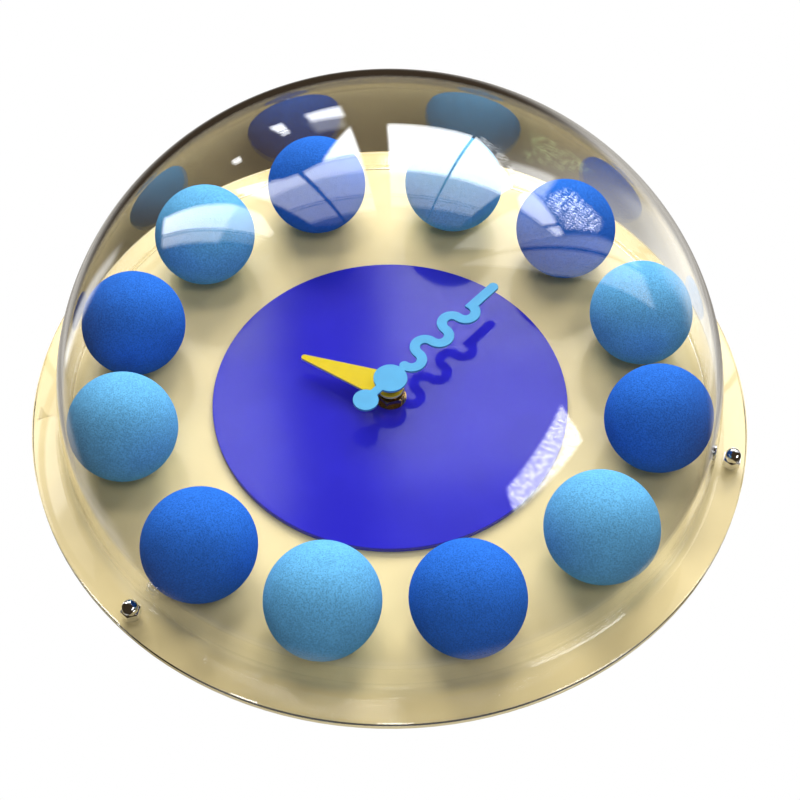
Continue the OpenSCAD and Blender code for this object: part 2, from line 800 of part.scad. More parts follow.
// Flat strip at the side wall, from the cell to the circuit board
module contact_strip() {
    foot_y = contact_foot - room_h;
    tab_x = board_half - contact_tab_l;
    translate([contact_x, foot_y, cell_z - contact_w / 2])
        cube([contact_t, rib_low - loose_gap - foot_y, contact_w]);
    translate([contact_x, foot_y, contact_low_z])
        cube([contact_t, contact_end_y - foot_y, board_z - contact_low_z]);
    translate([tab_x, contact_end_y - contact_tab_w, board_z - contact_t])
        cube([contact_x + contact_t - tab_x, contact_tab_w, contact_t]);
}

module battery_contact_plus() {
    color("silver") hang_up() contact_strip();
}

module battery_contact_minus() {
    color("silver") hang_up() {
        mirror([1, 0, 0]) contact_strip();
        translate([-contact_x, cell_y, cell_z]) rotate([0, 90, 0])
            cylinder(r1 = contact_bump_r, r2 = contact_tip_r, h = dimple_l);
    }
}

module circuit_board() {
    color("forestgreen") hang_up() difference() {
        translate([-board_half, board_low, board_z])
            cube([2 * board_half, board_high - board_low, board_t]);
        for (p = clamp_posts)
            at(p) translate([0, 0, board_z - 1])
                cylinder(r = clamp_post_r + 0.3, h = board_t + 2);
    }
}

module clock_chip() {
    chip_at = [2, (board_low + board_high) / 2];
    color("black") hang_up() at(chip_at) translate([0, 0, board_z + board_t])
        intersection() {
            translate([0, 0, -3.8]) sphere(r = 5);
            cylinder(r = 4, h = 2);
        }
}

module quartz_crystal() {
    can_r = 1;
    can_left = clamp_posts[1][0] + clamp_collar_r + 1.25;
    color("silver") hang_up()
        translate([can_left, (board_low + board_high) / 2, board_z + board_t + can_r])
            rotate([0, 90, 0]) cylinder(r = can_r, h = 6);
}

module coil_bobbin() {
    length = bobbin_right - bobbin_left;
    color("ivory") hang_up() difference() {
        union() {
            for (x = [bobbin_left, bobbin_right - bobbin_flange_t])
                translate([x, coil_y - bobbin_half, coil_z - bobbin_half])
                    cube([bobbin_flange_t, 2 * bobbin_half, 2 * bobbin_half]);
            translate([bobbin_left, coil_y - core_w / 2 - 0.6, coil_z - core_t / 2 - 0.6])
                cube([length, core_w + 1.2, core_t + 1.2]);
        }
        translate([bobbin_left - 1, coil_y - core_w / 2 - press_gap, core_z - press_gap])
            cube([length + 2, core_w + 2 * press_gap, core_t + 2 * press_gap]);
    }
}

module coil_winding() {
    left = bobbin_left + bobbin_flange_t;
    length = bobbin_right - bobbin_left - 2 * bobbin_flange_t;
    color("chocolate") hang_up() difference() {
        translate([left, coil_y, coil_z]) rotate([0, 90, 0])
            cylinder(r = winding_r, h = length);
        translate([left - 1, coil_y - core_w / 2 - 0.6 - press_gap,
                coil_z - core_t / 2 - 0.6 - press_gap])
            cube([length + 2, core_w + 1.2 + 2 * press_gap, core_t + 1.2 + 2 * press_gap]);
    }
}

module coil_core() {
    color("slategray") hang_up()
        translate([arm_left + 0.5, coil_y - core_w / 2, core_z])
            cube([arm_right - arm_left - 1, core_w, core_t]);
}

// Steel plate round the rotor, with two arms that carry the coil's core
module stator() {
    base_left = intermediate_at[0] - 4.7;
    base_right = arm_right - 1;
    arm_low = seconds_at[1] + 3;
    color("slategray") hang_up() difference() {
        translate([0, 0, stator_z]) linear_extrude(height = stator_t) {
            translate([base_left, stator_low])
                square([base_right - base_left, stator_high - stator_low]);
            for (x = [arm_left, arm_right - arm_w])
                translate([x, arm_low]) square([arm_w, coil_y + core_w / 2 + 0.5 - arm_low]);
        }
        at(rotor_at) translate([0, 0, stator_z - 1]) cylinder(r = stator_bore_r, h = stator_t + 2);
        at(intermediate_at) translate([0, 0, stator_z - 1])
            cylinder(r = arbor_d / 2 + 0.6, h = stator_t + 2);
    }
}

// An arbor between the cover's boss and the train plate, with both pivots
module arbor() {
    translate([0, 0, shoulder_low])
        cylinder(d = arbor_d, h = shoulder_high - shoulder_low);
    translate([0, 0, shoulder_low - pivot_l])
        cylinder(d = pivot_d, h = shoulder_high - shoulder_low + 2 * pivot_l);
}

// Arbor, wheel and pinion in one; the pinion has a tooth towards the wheel it drives
module train_wheel(place, teeth, wheel_z, driver, pinion_z, driven) {
    at(place) {
        arbor();
        wheel(train_module, teeth, wheel_z, wheel_t, heading(place, driver));
        gear(train_module, pinion_teeth, pinion_shift, pinion_z - 0.2, wheel_t + 0.4,
            heading(place, driven));
    }
}

function heading(from, to) = atan2(to[1] - from[1], to[0] - from[0]);

module rotor_pinion() {
    color("white") hang_up() at(rotor_at) {
        arbor();
        gear(train_module, pinion_teeth, pinion_shift, train_z - 0.1, wheel_t + 0.3,
            heading(rotor_at, intermediate_at));
    }
}

module rotor_magnet() {
    color("dimgray") hang_up() at(rotor_at)
        ring(magnet_d / 2, arbor_d / 2 + press_gap, magnet_z, magnet_t);
}

module intermediate_wheel() {
    color("ivory") hang_up()
        train_wheel(intermediate_at, intermediate_teeth, train_z, rotor_at,
            seconds_z, seconds_at);
}

module seconds_wheel() {
    color("ivory") hang_up()
        train_wheel(seconds_at, seconds_teeth, seconds_z, intermediate_at,
            third_z, third_at);
}

module third_wheel() {
    color("ivory") hang_up()
        train_wheel(third_at, third_teeth, third_z, seconds_at, train_z, [0, 0]);
}

// Driven by the train, and carries the minute arbor through the clutch washer
module centre_wheel() {
    color("ivory") hang_up() difference() {
        union() {
            wheel(train_module, centre_teeth, train_z, wheel_t, heading([0, 0], third_at));
            translate([0, 0, centre_boss_top + side_gap])
                cylinder(d = centre_hub_d, h = hub_z - centre_boss_top - side_gap);
        }
        translate([0, 0, centre_boss_top])
            cylinder(r = rear_arbor_d / 2 + run_gap, h = hub_z);
    }
}

module clutch_washer() {
    color("gold") hang_up() ring(2.8, rear_arbor_d / 2 + press_gap, hub_z + 0.05, clutch_t);
}

// Arbor of the minute hand, with the clutch's shoulder and the cannon pinion
module minute_arbor() {
    shoulder_z = hub_z + 0.05 + clutch_t;
    color("silver") hang_up() {
        translate([0, 0, 0.9]) cylinder(d = rear_arbor_d, h = cannon_z - 0.9);
        translate([0, 0, shoulder_z]) cylinder(r = 1.8, h = third_z - shoulder_z - 0.3);
        gear(works_module, cannon_teeth, pinion_shift, cannon_z, cannon_t, works_dir);
        translate([0, 0, cannon_z + cannon_t])
            cylinder(d = minute_arbor_d, h = minute_arbor_top - cannon_z - cannon_t);
    }
}

// Reduces the minute arbor's turns to the hour wheel's, and is set by the knob
module works_wheel() {
    pinion_z = works_z + wheel_t;
    color("ivory") hang_up() at(works_at) {
        wheel(works_module, works_teeth, works_z, wheel_t, works_dir + 180);
        gear(hour_module, works_pinion_teeth, pinion_shift, pinion_z,
            works_pinion_top - pinion_z, works_dir + 180);
        translate([0, 0, knob_z + 0.3])
            cylinder(d = rear_arbor_d, h = works_z - knob_z - 0.3);
        translate([0, 0, works_pinion_top]) cylinder(d = pivot_d, h = 1);
    }
}

module hour_wheel() {
    color("ivory") hang_up() difference() {
        union() {
            wheel(hour_module, hour_teeth, hour_z, wheel_t, works_dir);
            translate([0, 0, hour_z])
                cylinder(r = pipe_d / 2 + 0.8, h = front_inner - bush_flange_t - 0.2 - hour_z);
            translate([0, 0, hour_z]) cylinder(d = pipe_d, h = hour_socket_top - hour_z);
        }
        translate([0, 0, hour_z - 1])
            cylinder(r = minute_arbor_d / 2 + run_gap, h = hour_socket_top - hour_z + 2);
    }
}

module set_knob() {
    grips = 18;
    color("white") hang_up() at(works_at) difference() {
        translate([0, 0, knob_z]) cylinder(d = knob_d, h = knob_t);
        for (k = [0:grips - 1])
            rotate(360 * k / grips) translate([knob_d / 2 + 0.15, 0, knob_z - 1])
                cylinder(r = 0.4, h = knob_t + 2, $fn = 16);
        translate([0, 0, knob_z + 0.3])
            cylinder(r = rear_arbor_d / 2 + press_gap, h = knob_t);
    }
}

// One half wave of the minute hand's arm, bulging to one side
module half_wave(x, side) {
    translate([x, 0]) intersection() {
        difference() {
            circle(r = wave_r + wave_w / 2);
            circle(r = wave_r - wave_w / 2);
        }
        translate([-wave_pitch, side > 0 ? 0 : -wave_pitch])
            square([2 * wave_pitch, wave_pitch]);
    }
}

// Outline of the minute hand, pointing along +X
module minute_outline() {
    circle(d = minute_hub_d);
    translate([wave_start, 0]) circle(d = wave_w);
    for (k = [0:wave_turns - 1])
        half_wave(wave_start + wave_r * (2 * k + 1), k % 2 == 0 ? -1 : 1);
    translate([wave_end - wave_w / 2, -wave_w / 2])
        square([minute_reach - bar_tip_r - wave_end + wave_w / 2, wave_w]);
    translate([minute_reach - bar_tip_r, 0]) circle(r = bar_tip_r);
    translate([-tail_reach, 0]) circle(d = tail_d);
    translate([-tail_reach, -tail_neck_w / 2]) square([tail_reach, tail_neck_w]);
}

module minute_hand() {
    color("deepskyblue") hang_up()
        translate([0, 0, minute_back]) rotate(90 - minute_angle)
            linear_extrude(height = hand_t) minute_outline();
}

// Closed cup that fits on the minute arbor and carries the hand on its rim
module minute_hand_socket() {
    color("goldenrod") hang_up() difference() {
        union() {
            translate([0, 0, minute_socket_base])
                cylinder(r = 3.1, h = minute_back - minute_socket_base);
            translate([0, 0, minute_back - socket_flange_t]) cylinder(r = 5.5, h = socket_flange_t);
        }
        translate([0, 0, minute_socket_base - 1])
            cylinder(r = minute_arbor_d / 2 + press_gap,
                h = minute_arbor_top + 0.1 - minute_socket_base + 1);
    }
}

// Outline of the hour hand, pointing along +X
module hour_outline() {
    corner_r = 1.2;
    tip_x = hour_reach - hour_tip_r;
    circle(d = hour_hub_d);
    translate([tip_x, 0]) circle(r = hour_tip_r);
    polygon([[hour_root, corner_r - hour_w / 2], [hour_root + corner_r, -hour_w / 2],
        [tip_x, 0.02 - hour_tip_r], [tip_x, hour_tip_r - 0.02],
        [hour_root + corner_r, hour_w / 2], [hour_root, hour_w / 2 - corner_r]]);
}

module hour_hand() {
    color("gold") hang_up() translate([0, 0, hour_back]) rotate(90 - hour_angle)
        linear_extrude(height = hand_t) difference() {
            hour_outline();
            circle(r = pipe_d / 2 + 0.8);
        }
}

module hour_hand_socket() {
    color("goldenrod") hang_up() {
        ring(pipe_d / 2 + 2.2, pipe_d / 2 + press_gap, hour_back - socket_flange_t, socket_flange_t);
        ring(pipe_d / 2 + 0.8 - press_gap, pipe_d / 2 + press_gap, hour_back, hour_socket_top - hour_back);
    }
}

back_plate();
dial_disc();
dome();
hour_ball(1);  // ball_01
hour_ball(2);  // ball_02
hour_ball(3);  // ball_03
hour_ball(4);  // ball_04
hour_ball(5);  // ball_05
hour_ball(6);  // ball_06
hour_ball(7);  // ball_07
hour_ball(8);  // ball_08
hour_ball(9);  // ball_09
hour_ball(10);  // ball_10
hour_ball(11);  // ball_11
hour_ball(12);  // ball_12
ball_screws();
ball_screw_washers();
cap_nuts();
flange_bolts();
flange_bolt_washers();
wall_bumpers();
hanger_bracket();
rubber_gasket();
threaded_bush();
bush_nut();
bush_washer();
movement_case();
movement_cover();
train_plate();
battery();
battery_contact_plus();
battery_contact_minus();
circuit_board();
clock_chip();
quartz_crystal();
coil_bobbin();
coil_winding();
coil_core();
stator();
rotor_pinion();
rotor_magnet();
intermediate_wheel();
seconds_wheel();
third_wheel();
centre_wheel();
clutch_washer();
minute_arbor();
works_wheel();
hour_wheel();
set_knob();
minute_hand();
minute_hand_socket();
hour_hand();
hour_hand_socket();
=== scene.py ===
"""Bubble wall clock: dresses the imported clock, lights it and sets up its camera."""

import logging
import math
from dataclasses import dataclass, field
from enum import Enum
from typing import Iterable, Sequence

import bmesh
import bpy
from mathutils import Matrix, Vector, noise


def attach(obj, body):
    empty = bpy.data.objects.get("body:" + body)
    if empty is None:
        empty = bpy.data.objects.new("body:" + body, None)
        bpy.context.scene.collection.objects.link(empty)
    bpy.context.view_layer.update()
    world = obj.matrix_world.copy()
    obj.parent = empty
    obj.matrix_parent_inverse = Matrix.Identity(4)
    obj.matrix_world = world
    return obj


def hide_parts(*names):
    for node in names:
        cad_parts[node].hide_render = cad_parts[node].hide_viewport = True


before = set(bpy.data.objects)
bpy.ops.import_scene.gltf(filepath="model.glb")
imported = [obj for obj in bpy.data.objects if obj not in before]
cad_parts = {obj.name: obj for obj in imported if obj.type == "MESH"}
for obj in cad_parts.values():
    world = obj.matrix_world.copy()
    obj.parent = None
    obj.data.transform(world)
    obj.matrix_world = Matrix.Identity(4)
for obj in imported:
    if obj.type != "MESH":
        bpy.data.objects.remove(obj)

LOG = logging.getLogger("bubble_clock")
MM = 0.001

# Lengths in mm below this count as none
TINY = 1e-6

# The dial is drawn lying down, in mm: x to 3 o'clock, y to 12 o'clock, z off the wall
HANG = Matrix.Rotation(math.radians(90), 4, "X") @ Matrix.Scale(MM, 4)

Socket = bpy.types.NodeSocket
Colour = tuple[float, float, float]
Spot = tuple[float, float]
Place = tuple["Number", "Number"]
WHITE: Colour = (1.0, 1.0, 1.0)


class Hour(Enum):
    """The two foams of the hour balls."""

    DARK = "dark_ball"
    LIGHT = "light_ball"

    @classmethod
    def at(cls, hour: int) -> "Hour":
        """Gives the foam of an hour's ball: dark at the even hours, light at the odd ones."""
        return cls.DARK if hour % 2 == 0 else cls.LIGHT


class Number:
    """A number socket on which Python's operators add Math nodes."""

    def __init__(self, recipe: "Recipe", socket: Socket) -> None:
        """Wraps an output socket of a recipe's tree."""
        self.recipe = recipe
        self.socket = socket

    def _math(self, operation: str, *values: object) -> "Number":
        """Gives a Math node's result for values in the node's order."""
        node = self.recipe.node("ShaderNodeMath", {"operation": operation}, dict(enumerate(values)))
        return Number(self.recipe, node.outputs[0])

    def __add__(self, other: object) -> "Number":
        """Adds another value."""
        return self._math("ADD", self, other)

    __radd__ = __add__

    def __sub__(self, other: object) -> "Number":
        """Takes another value off."""
        return self._math("SUBTRACT", self, other)

    def __rsub__(self, other: object) -> "Number":
        """Is taken off another value."""
        return self._math("SUBTRACT", other, self)

    def __mul__(self, other: object) -> "Number":
        """Multiplies by another value."""
        return self._math("MULTIPLY", self, other)

    __rmul__ = __mul__

    def __truediv__(self, other: object) -> "Number":
        """Divides by another value."""
        return self._math("DIVIDE", self, other)

    def __pow__(self, other: object) -> "Number":
        """Raises to a power."""
        return self._math("POWER", self, other)

    def __abs__(self) -> "Number":
        """Drops the sign."""
        return self._math("ABSOLUTE", self)

    def sine(self) -> "Number":
        """Takes the sine."""
        return self._math("SINE", self)

    def above(self, edge: float) -> "Number":
        """Gives 1 above an edge and 0 below it."""
        return self._math("GREATER_THAN", self, edge)

    def between(self, low: float, high: float) -> "Number":
        """Rises smoothly from 0 at low to 1 at high, or falls where low is the larger.

        Args:
            low: the value where the result is 0.
            high: the value where it is 1.

        Returns:
            The risen value, kept between 0 and 1.
        """
        inputs = {"Value": self, "From Min": low, "From Max": high}
        node = self.recipe.node("ShaderNodeMapRange", {"interpolation_type": "SMOOTHSTEP"}, inputs)
        return Number(self.recipe, node.outputs["Result"])


class Recipe:
    """The node tree of one material or of the world."""

    def __init__(self, tree: bpy.types.NodeTree) -> None:
        """Empties the tree, to build in it."""
        self.tree = tree
        tree.nodes.clear()

    def node(
        self,
        kind: str,
        settings: dict[str, object] | None = None,
        inputs: dict[object, object] | None = None,
    ) -> bpy.types.Node:
        """Adds a node, sets it up and feeds it.

        Args:
            kind: the node's type.
            settings: the node's own settings, which are set first.
            inputs: a value, socket or Number for each input, by name or number.

        Returns:
            The new node.
        """
        node = self.tree.nodes.new(kind)
        for name, setting in (settings or {}).items():
            setattr(node, name, setting)
        for name, value in (inputs or {}).items():
            self.feed(node.inputs[name], value)
        return node

    def feed(self, socket: Socket, value: object) -> None:
        """Links or sets one input socket.

        Args:
            socket: the input socket.
            value: a Number, a socket, a number or a colour.
        """
        if isinstance(value, Number):
            value = value.socket
        if isinstance(value, Socket):
            self.tree.links.new(value, socket)
        elif socket.type == "RGBA" and len(value) == 3:
            socket.default_value = (*value, 1.0)
        else:
            socket.default_value = value

    def number(self, socket: Socket) -> Number:
        """Wraps a socket for Python's operators."""
        return Number(self, socket)

    def place(self) -> Socket:
        """Gives the point on the surface, in metres in the row's frame."""
        return self.node("ShaderNodeTexCoord").outputs["Object"]

    def axes(self, vector: Socket) -> list[Number]:
        """Splits a vector into its three numbers."""
        split = self.node("ShaderNodeSeparateXYZ", None, {0: vector})
        return [Number(self, s) for s in split.outputs]

    def stretched(self, stretch: Sequence[float]) -> Socket:
        """Gives the point on the surface, stretched for a grain that runs one way."""
        inputs = {"Vector": self.place(), "Scale": stretch}
        return self.node("ShaderNodeMapping", {"vector_type": "POINT"}, inputs).outputs[0]

    def noise(
        self,
        size_mm: float,
        detail: float = 2.0,
        roughness: float = 0.5,
        vector: Socket | None = None,
    ) -> Number:
        """Adds an even noise.

        Args:
            size_mm: the size of its blotches.
            detail: how many finer layers it has.
            roughness: how strong the finer layers are.
            vector: its coordinates, or None for the row's frame.

        Returns:
            The noise, between about 0.3 and 0.7.
        """
        inputs = {"Vector": vector or self.place(), "Scale": 1.0 / (size_mm * MM)}
        inputs |= {"Detail": detail, "Roughness": roughness}
        return Number(self, self.node("ShaderNodeTexNoise", None, inputs).outputs[0])

    def cells(self, size_mm: float) -> Number:
        """Gives the distance from the middle of the nearest cell, in cells of a size."""
        inputs = {"Vector": self.place(), "Scale": 1.0 / (size_mm * MM)}
        return Number(self, self.node("ShaderNodeTexVoronoi", {"feature": "F1"}, inputs).outputs[0])

    def blend(self, share: object, first: object, second: object) -> Socket:
        """Mixes two colours.

        Args:
            share: the second colour's share.
            first: a colour or a colour socket.
            second: a colour or a colour socket.

        Returns:
            The mixed colour.
        """
        node = self.node("ShaderNodeMix", {"data_type": "RGBA", "clamp_factor": True})
        colours = [s for s in node.inputs if s.type == "RGBA"]
        self.feed(node.inputs[0], share)
        self.feed(colours[0], first)
        self.feed(colours[1], second)
        return next(s for s in node.outputs if s.type == "RGBA")

    def bump(self, height: object, depth_mm: float, strength: float) -> Socket:
        """Gives the normal on a relief from 0 to 1, with its depth and how much of it shows."""
        inputs = {"Height": height, "Distance": depth_mm * MM, "Strength": strength}
        return self.node("ShaderNodeBump", None, inputs).outputs[0]

    def surface(self, **inputs: object) -> Socket:
        """Adds the Principled shader, whose inputs have _ for each space in a name."""
        named = {name.replace("_", " "): value for name, value in inputs.items()}
        return self.node("ShaderNodeBsdfPrincipled", None, named).outputs[0]

    def output(self, shader: Socket, kind: str = "ShaderNodeOutputMaterial") -> None:
        """Ends the tree with what is shown."""
        self.node(kind, None, {"Surface": shader})


@dataclass(frozen=True)
class Finish:
    """What every finish has: a name, a colour and a roughness."""

    name: str
    colour: Colour
    roughness: float = 0.5

    def material(self) -> bpy.types.Material:
        """Makes the finish's material, once.

        Returns:
            The material.
        """
        known = bpy.data.materials.get(self.name)
        if known is not None:
            return known
        made = bpy.data.materials.new(self.name)
        made.use_nodes = True
        recipe = Recipe(made.node_tree)
        recipe.output(self.shade(recipe))
        made.diffuse_color = (*self.colour, 1.0)
        return made

    def shade(self, recipe: Recipe) -> Socket:
        """Builds the finish's shader.

        Args:
            recipe: the tree to build in.

        Returns:
            The shader socket.
        """
        raise NotImplementedError

    def scaled(self, share: float) -> Colour:
        """Gives the colour, darkened or lightened by a share."""
        return tuple(min(1.0, c * share) for c in self.colour)


@dataclass(frozen=True)
class Lacquer(Finish):
    """Satin lacquer on the sheet of the back plate."""

    cloud_mm: float = 45.0
    peel_mm: float = 0.9
    sheen_mm: float = 14.0

    def shade(self, recipe: Recipe) -> Socket:
        """Gives cream lacquer with a faint cloudiness and orange peel."""
        cloud = recipe.noise(self.cloud_mm, 3.0)
        peel = recipe.noise(self.peel_mm)
        base = recipe.blend(cloud.between(0.3, 0.7), self.scaled(0.94), self.scaled(1.05))
        rough = self.roughness + 0.12 * (recipe.noise(self.sheen_mm) - 0.5)
        return recipe.surface(
            Base_Color=base,
            Roughness=rough,
            Normal=recipe.bump(peel, 0.02, 0.35),
            Coat_Weight=1.0,
            Coat_Roughness=0.12,
        )


@dataclass(frozen=True)
class GlossSheet(Finish):
    """Polished coloured acrylic of the centre disc."""

    haze_mm: float = 30.0
    wave_mm: float = 60.0

    def shade(self, recipe: Recipe) -> Socket:
        """Gives a deep colour under a gloss with a trace of haze."""
        haze = recipe.noise(self.haze_mm)
        base = recipe.blend(haze.between(0.35, 0.65), self.scaled(0.96), self.scaled(1.04))
        rough = self.roughness + 0.03 * (haze - 0.5)
        return recipe.surface(
            Base_Color=base,
            Roughness=rough,
            Normal=recipe.bump(recipe.noise(self.wave_mm, 1.0), 0.03, 0.25),
            Specular_IOR_Level=0.65,
        )


@dataclass(frozen=True)
class ClearAcrylic(Finish):
    """Clear blown acrylic, which lets the lamps through."""

    index: float = 1.49
    wave_mm: float = 80.0

    def shade(self, recipe: Recipe) -> Socket:
        """Gives clear glass for the eye and a clear way through for lamps."""
        wave = recipe.noise(self.wave_mm, 1.0)
        glass = recipe.surface(
            Base_Color=self.colour,
            Roughness=self.roughness,
            IOR=self.index,
            Transmission_Weight=1.0,
            Normal=recipe.bump(wave, 0.25, 0.2),
        )
        clear = recipe.node("ShaderNodeBsdfTransparent", None, {"Color": WHITE})
        shadow = recipe.node("ShaderNodeLightPath").outputs["Is Shadow Ray"]
        mixed = recipe.node(
            "ShaderNodeMixShader",
            None,
            {0: shadow, 1: glass, 2: clear.outputs[0]},
        )
        return mixed.outputs[0]


@dataclass(frozen=True)
class Foam(Finish):
    """Fine closed-cell foam of the hour balls."""

    grain_mm: float = 0.7
    pore_mm: float = 1.1
    blotch_mm: float = 9.0

    def shade(self, recipe: Recipe) -> Socket:
        """Gives a powdery colour with fine grain and scattered open cells, whose pits are darkened as
        painted shade.
        """
        grain = recipe.noise(self.grain_mm, 2.0, 0.6)
        pores = recipe.cells(self.pore_mm).between(0.10, 0.45)
        blotch = recipe.noise(self.blotch_mm)
        tone = (grain * 0.85 + blotch * 0.15).between(0.38, 0.62)
        base = recipe.blend(tone, self.scaled(0.82), self.scaled(1.15))
        # painted shade: the pits of the open cells, the low spots of the bump, are darkened
        base = recipe.blend(1.0 - pores, base, self.scaled(0.70))
        height = grain * 0.7 + pores * 0.6
        return recipe.surface(
            Base_Color=base,
            Roughness=self.roughness,
            Normal=recipe.bump(height, 0.16, 0.7),
            Specular_IOR_Level=0.0,
            Sheen_Weight=0.15,
            Sheen_Roughness=0.5,
            Sheen_Tint=self.colour,
        )


@dataclass(frozen=True)
class Paint(Finish):
    """Paint on a cut metal hand, whose side faces get a colour of their own: a paler painted highlight on
    the hour hand, a darker painted shade on the minute hand.
    """

    # colour painted on the side faces: painted highlight on the hour hand, painted shade on the minute
    # hand
    edge: Colour = (0.9, 0.9, 0.9)
    cloud_mm: float = 5.0
    tooth_mm: float = 0.35

    def shade(self, recipe: Recipe) -> Socket:
        """Gives flat paint with a fine tooth, with the edge colour painted on the side faces as their
        highlight or shade.
        """
        normal = recipe.node("ShaderNodeTexCoord").outputs["Normal"]
        facing = abs(recipe.axes(normal)[1])
        cloud = recipe.noise(self.cloud_mm).between(0.3, 0.7)
        face = recipe.blend(cloud, self.scaled(0.96), self.scaled(1.03))
        # painted highlight and shade: faces not turned to the front, told apart by their normals, take the
        # edge colour
        base = recipe.blend(facing.between(0.5, 0.95), self.edge, face)
        return recipe.surface(
            Base_Color=base,
            Roughness=self.roughness + 0.1 * (cloud - 0.5),
            Normal=recipe.bump(recipe.noise(self.tooth_mm), 0.01, 0.4),
        )


@dataclass(frozen=True)
class Metal(Finish):
    """Bare or plated metal, drawn or polished."""

    grain: Sequence[float] = (1.0, 1.0, 1.0)
    grain_mm: float = 0.25
    worn: float = 0.12
    smudge_mm: float = 3.0

    def shade(self, recipe: Recipe) -> Socket:
        """Gives metal with grain along one way and smudges in its polish."""
        lines = recipe.noise(self.grain_mm, vector=recipe.stretched(self.grain))
        smudge = recipe.noise(self.smudge_mm)
        base = recipe.blend(smudge.between(0.3, 0.7), self.scaled(0.9), self.scaled(1.04))
        rough = self.roughness + self.worn * (smudge - 0.5) + self.worn * (lines - 0.5)
        return recipe.surface(
            Base_Color=base,
            Metallic=1.0,
            Roughness=rough,
            Normal=recipe.bump(lines, 0.006, 0.5),
        )


@dataclass(frozen=True)
class Plastic(Finish):
    """Moulded plastic with a spark-eroded skin."""

    skin_mm: float = 0.4
    depth_mm: float = 0.012
    flow_mm: float = 12.0

    def shade(self, recipe: Recipe) -> Socket:
        """Gives moulded plastic with fine skin and slow changes of gloss."""
        skin = recipe.noise(self.skin_mm, 2.0, 0.6)
        flow = recipe.noise(self.flow_mm)
        base = recipe.blend(flow.between(0.3, 0.7), self.scaled(0.92), self.scaled(1.06))
        return recipe.surface(
            Base_Color=base,
            Roughness=self.roughness + 0.14 * (flow - 0.5),
            Normal=recipe.bump(skin, self.depth_mm, 0.6),
        )


@dataclass(frozen=True)
class Rubber(Finish):
    """Dusty black rubber."""

    bloom_mm: float = 4.0
    tooth_mm: float = 0.5

    def shade(self, recipe: Recipe) -> Socket:
        """Gives black rubber with a dusty bloom."""
        bloom = recipe.noise(self.bloom_mm, 3.0)
        base = recipe.blend(bloom.between(0.35, 0.7), self.colour, self.scaled(2.2))
        return recipe.surface(
            Base_Color=base,
            Roughness=self.roughness,
            Normal=recipe.bump(recipe.noise(self.tooth_mm), 0.02, 0.5),
        )


@dataclass(frozen=True)
class CellJacket(Finish):
    """Shrunk film round the cell, in two bands, with bare steel ends."""

    second: Colour = (0.03, 0.03, 0.035)
    steel: Colour = (0.7, 0.7, 0.69)
    band_x: float = 0.012
    wrinkle_mm: float = 6.0

    def shade(self, recipe: Recipe) -> Socket:
        """Gives the bands by the place along the cell."""
        x = recipe.axes(recipe.place())[0]
        normal = recipe.axes(recipe.node("ShaderNodeTexCoord").outputs["Normal"])[0]
        bare = abs(normal).above(0.6)
        wrap = recipe.blend(x.above(self.band_x), self.second, self.colour)
        base = recipe.blend(bare, wrap, self.steel)
        wrinkle = recipe.noise(self.wrinkle_mm)
        return recipe.surface(
            Base_Color=base,
            Metallic=bare,
            Roughness=self.roughness + 0.08 * (wrinkle - 0.5),
            Normal=recipe.bump(wrinkle, 0.04, 0.3),
        )


@dataclass(frozen=True)
class Board(Finish):
    """Solder mask over copper tracks."""

    track: Colour = (0.10, 0.36, 0.16)
    tile_mm: float = 3.0

    def shade(self, recipe: Recipe) -> Socket:
        """Gives green mask with paler tracks under it."""
        cells = recipe.node(
            "ShaderNodeTexBrick",
            {"offset": 0.35},
            {
                "Vector": recipe.place(),
                "Scale": 1.0 / (self.tile_mm * MM),
                "Mortar Size": 0.09,
                "Color1": (0.0, 0.0, 0.0),
                "Color2": (0.0, 0.0, 0.0),
                "Mortar": (1.0, 1.0, 1.0),
            },
        )
        track = recipe.number(cells.outputs["Fac"])
        base = recipe.blend(track, self.colour, self.track)
        return recipe.surface(
            Base_Color=base,
            Roughness=self.roughness,
            Normal=recipe.bump(track, 0.03, 0.6),
        )


@dataclass(frozen=True)
class WoundWire(Finish):
    """Enamelled wire, wound in close turns along X."""

    wire_mm: float = 0.22

    def shade(self, recipe: Recipe) -> Socket:
        """Gives one ridge for each turn of the wire, with painted shade darkening the grooves between the
        turns.
        """
        x = recipe.axes(recipe.place())[0]
        turns = (x * (math.tau / (self.wire_mm * MM))).sine() * 0.5 + 0.5
        # painted shade: the grooves between the turns, low in the bump, are darkened
        base = recipe.blend(turns, self.scaled(0.45), self.colour)
        return recipe.surface(
            Base_Color=base,
            Metallic=0.85,
            Roughness=self.roughness,
            Normal=recipe.bump(turns, 0.05, 0.7),
        )


LACQUER = Lacquer("cream_lacquer", (0.73, 0.61, 0.32), 0.42)
INDIGO = GlossSheet("indigo_acrylic", (0.018, 0.016, 0.43), 0.10)
CLEAR = ClearAcrylic("clear_acrylic", WHITE, 0.0)
FOAMS = {
    Hour.DARK: Foam("royal_blue_foam", (0.022, 0.135, 0.57), 0.85),
    Hour.LIGHT: Foam("sky_blue_foam", (0.120, 0.40, 0.70), 0.85),
}
CHROME = Metal("polished_chrome", (0.82, 0.82, 0.84), 0.07, worn=0.05)
ZINC = Metal("zinc_plate", (0.62, 0.63, 0.65), 0.34)
STRIP_STEEL = Metal("rolled_steel_strip", (0.60, 0.61, 0.63), 0.32, grain=(1.0, 1.0, 0.08))
CONTACT_STEEL = Metal("nickel_strip", (0.70, 0.68, 0.62), 0.24, grain=(1.0, 1.0, 0.08))
SOFT_IRON = Metal("soft_iron", (0.42, 0.43, 0.45), 0.4, grain=(0.1, 1.0, 1.0))
ARBOR_STEEL = Metal("ground_steel", (0.60, 0.61, 0.62), 0.2, grain=(1.0, 0.05, 1.0))
BRASS = Metal("turned_brass", (0.78, 0.55, 0.20), 0.18, grain=(1.0, 0.08, 1.0))
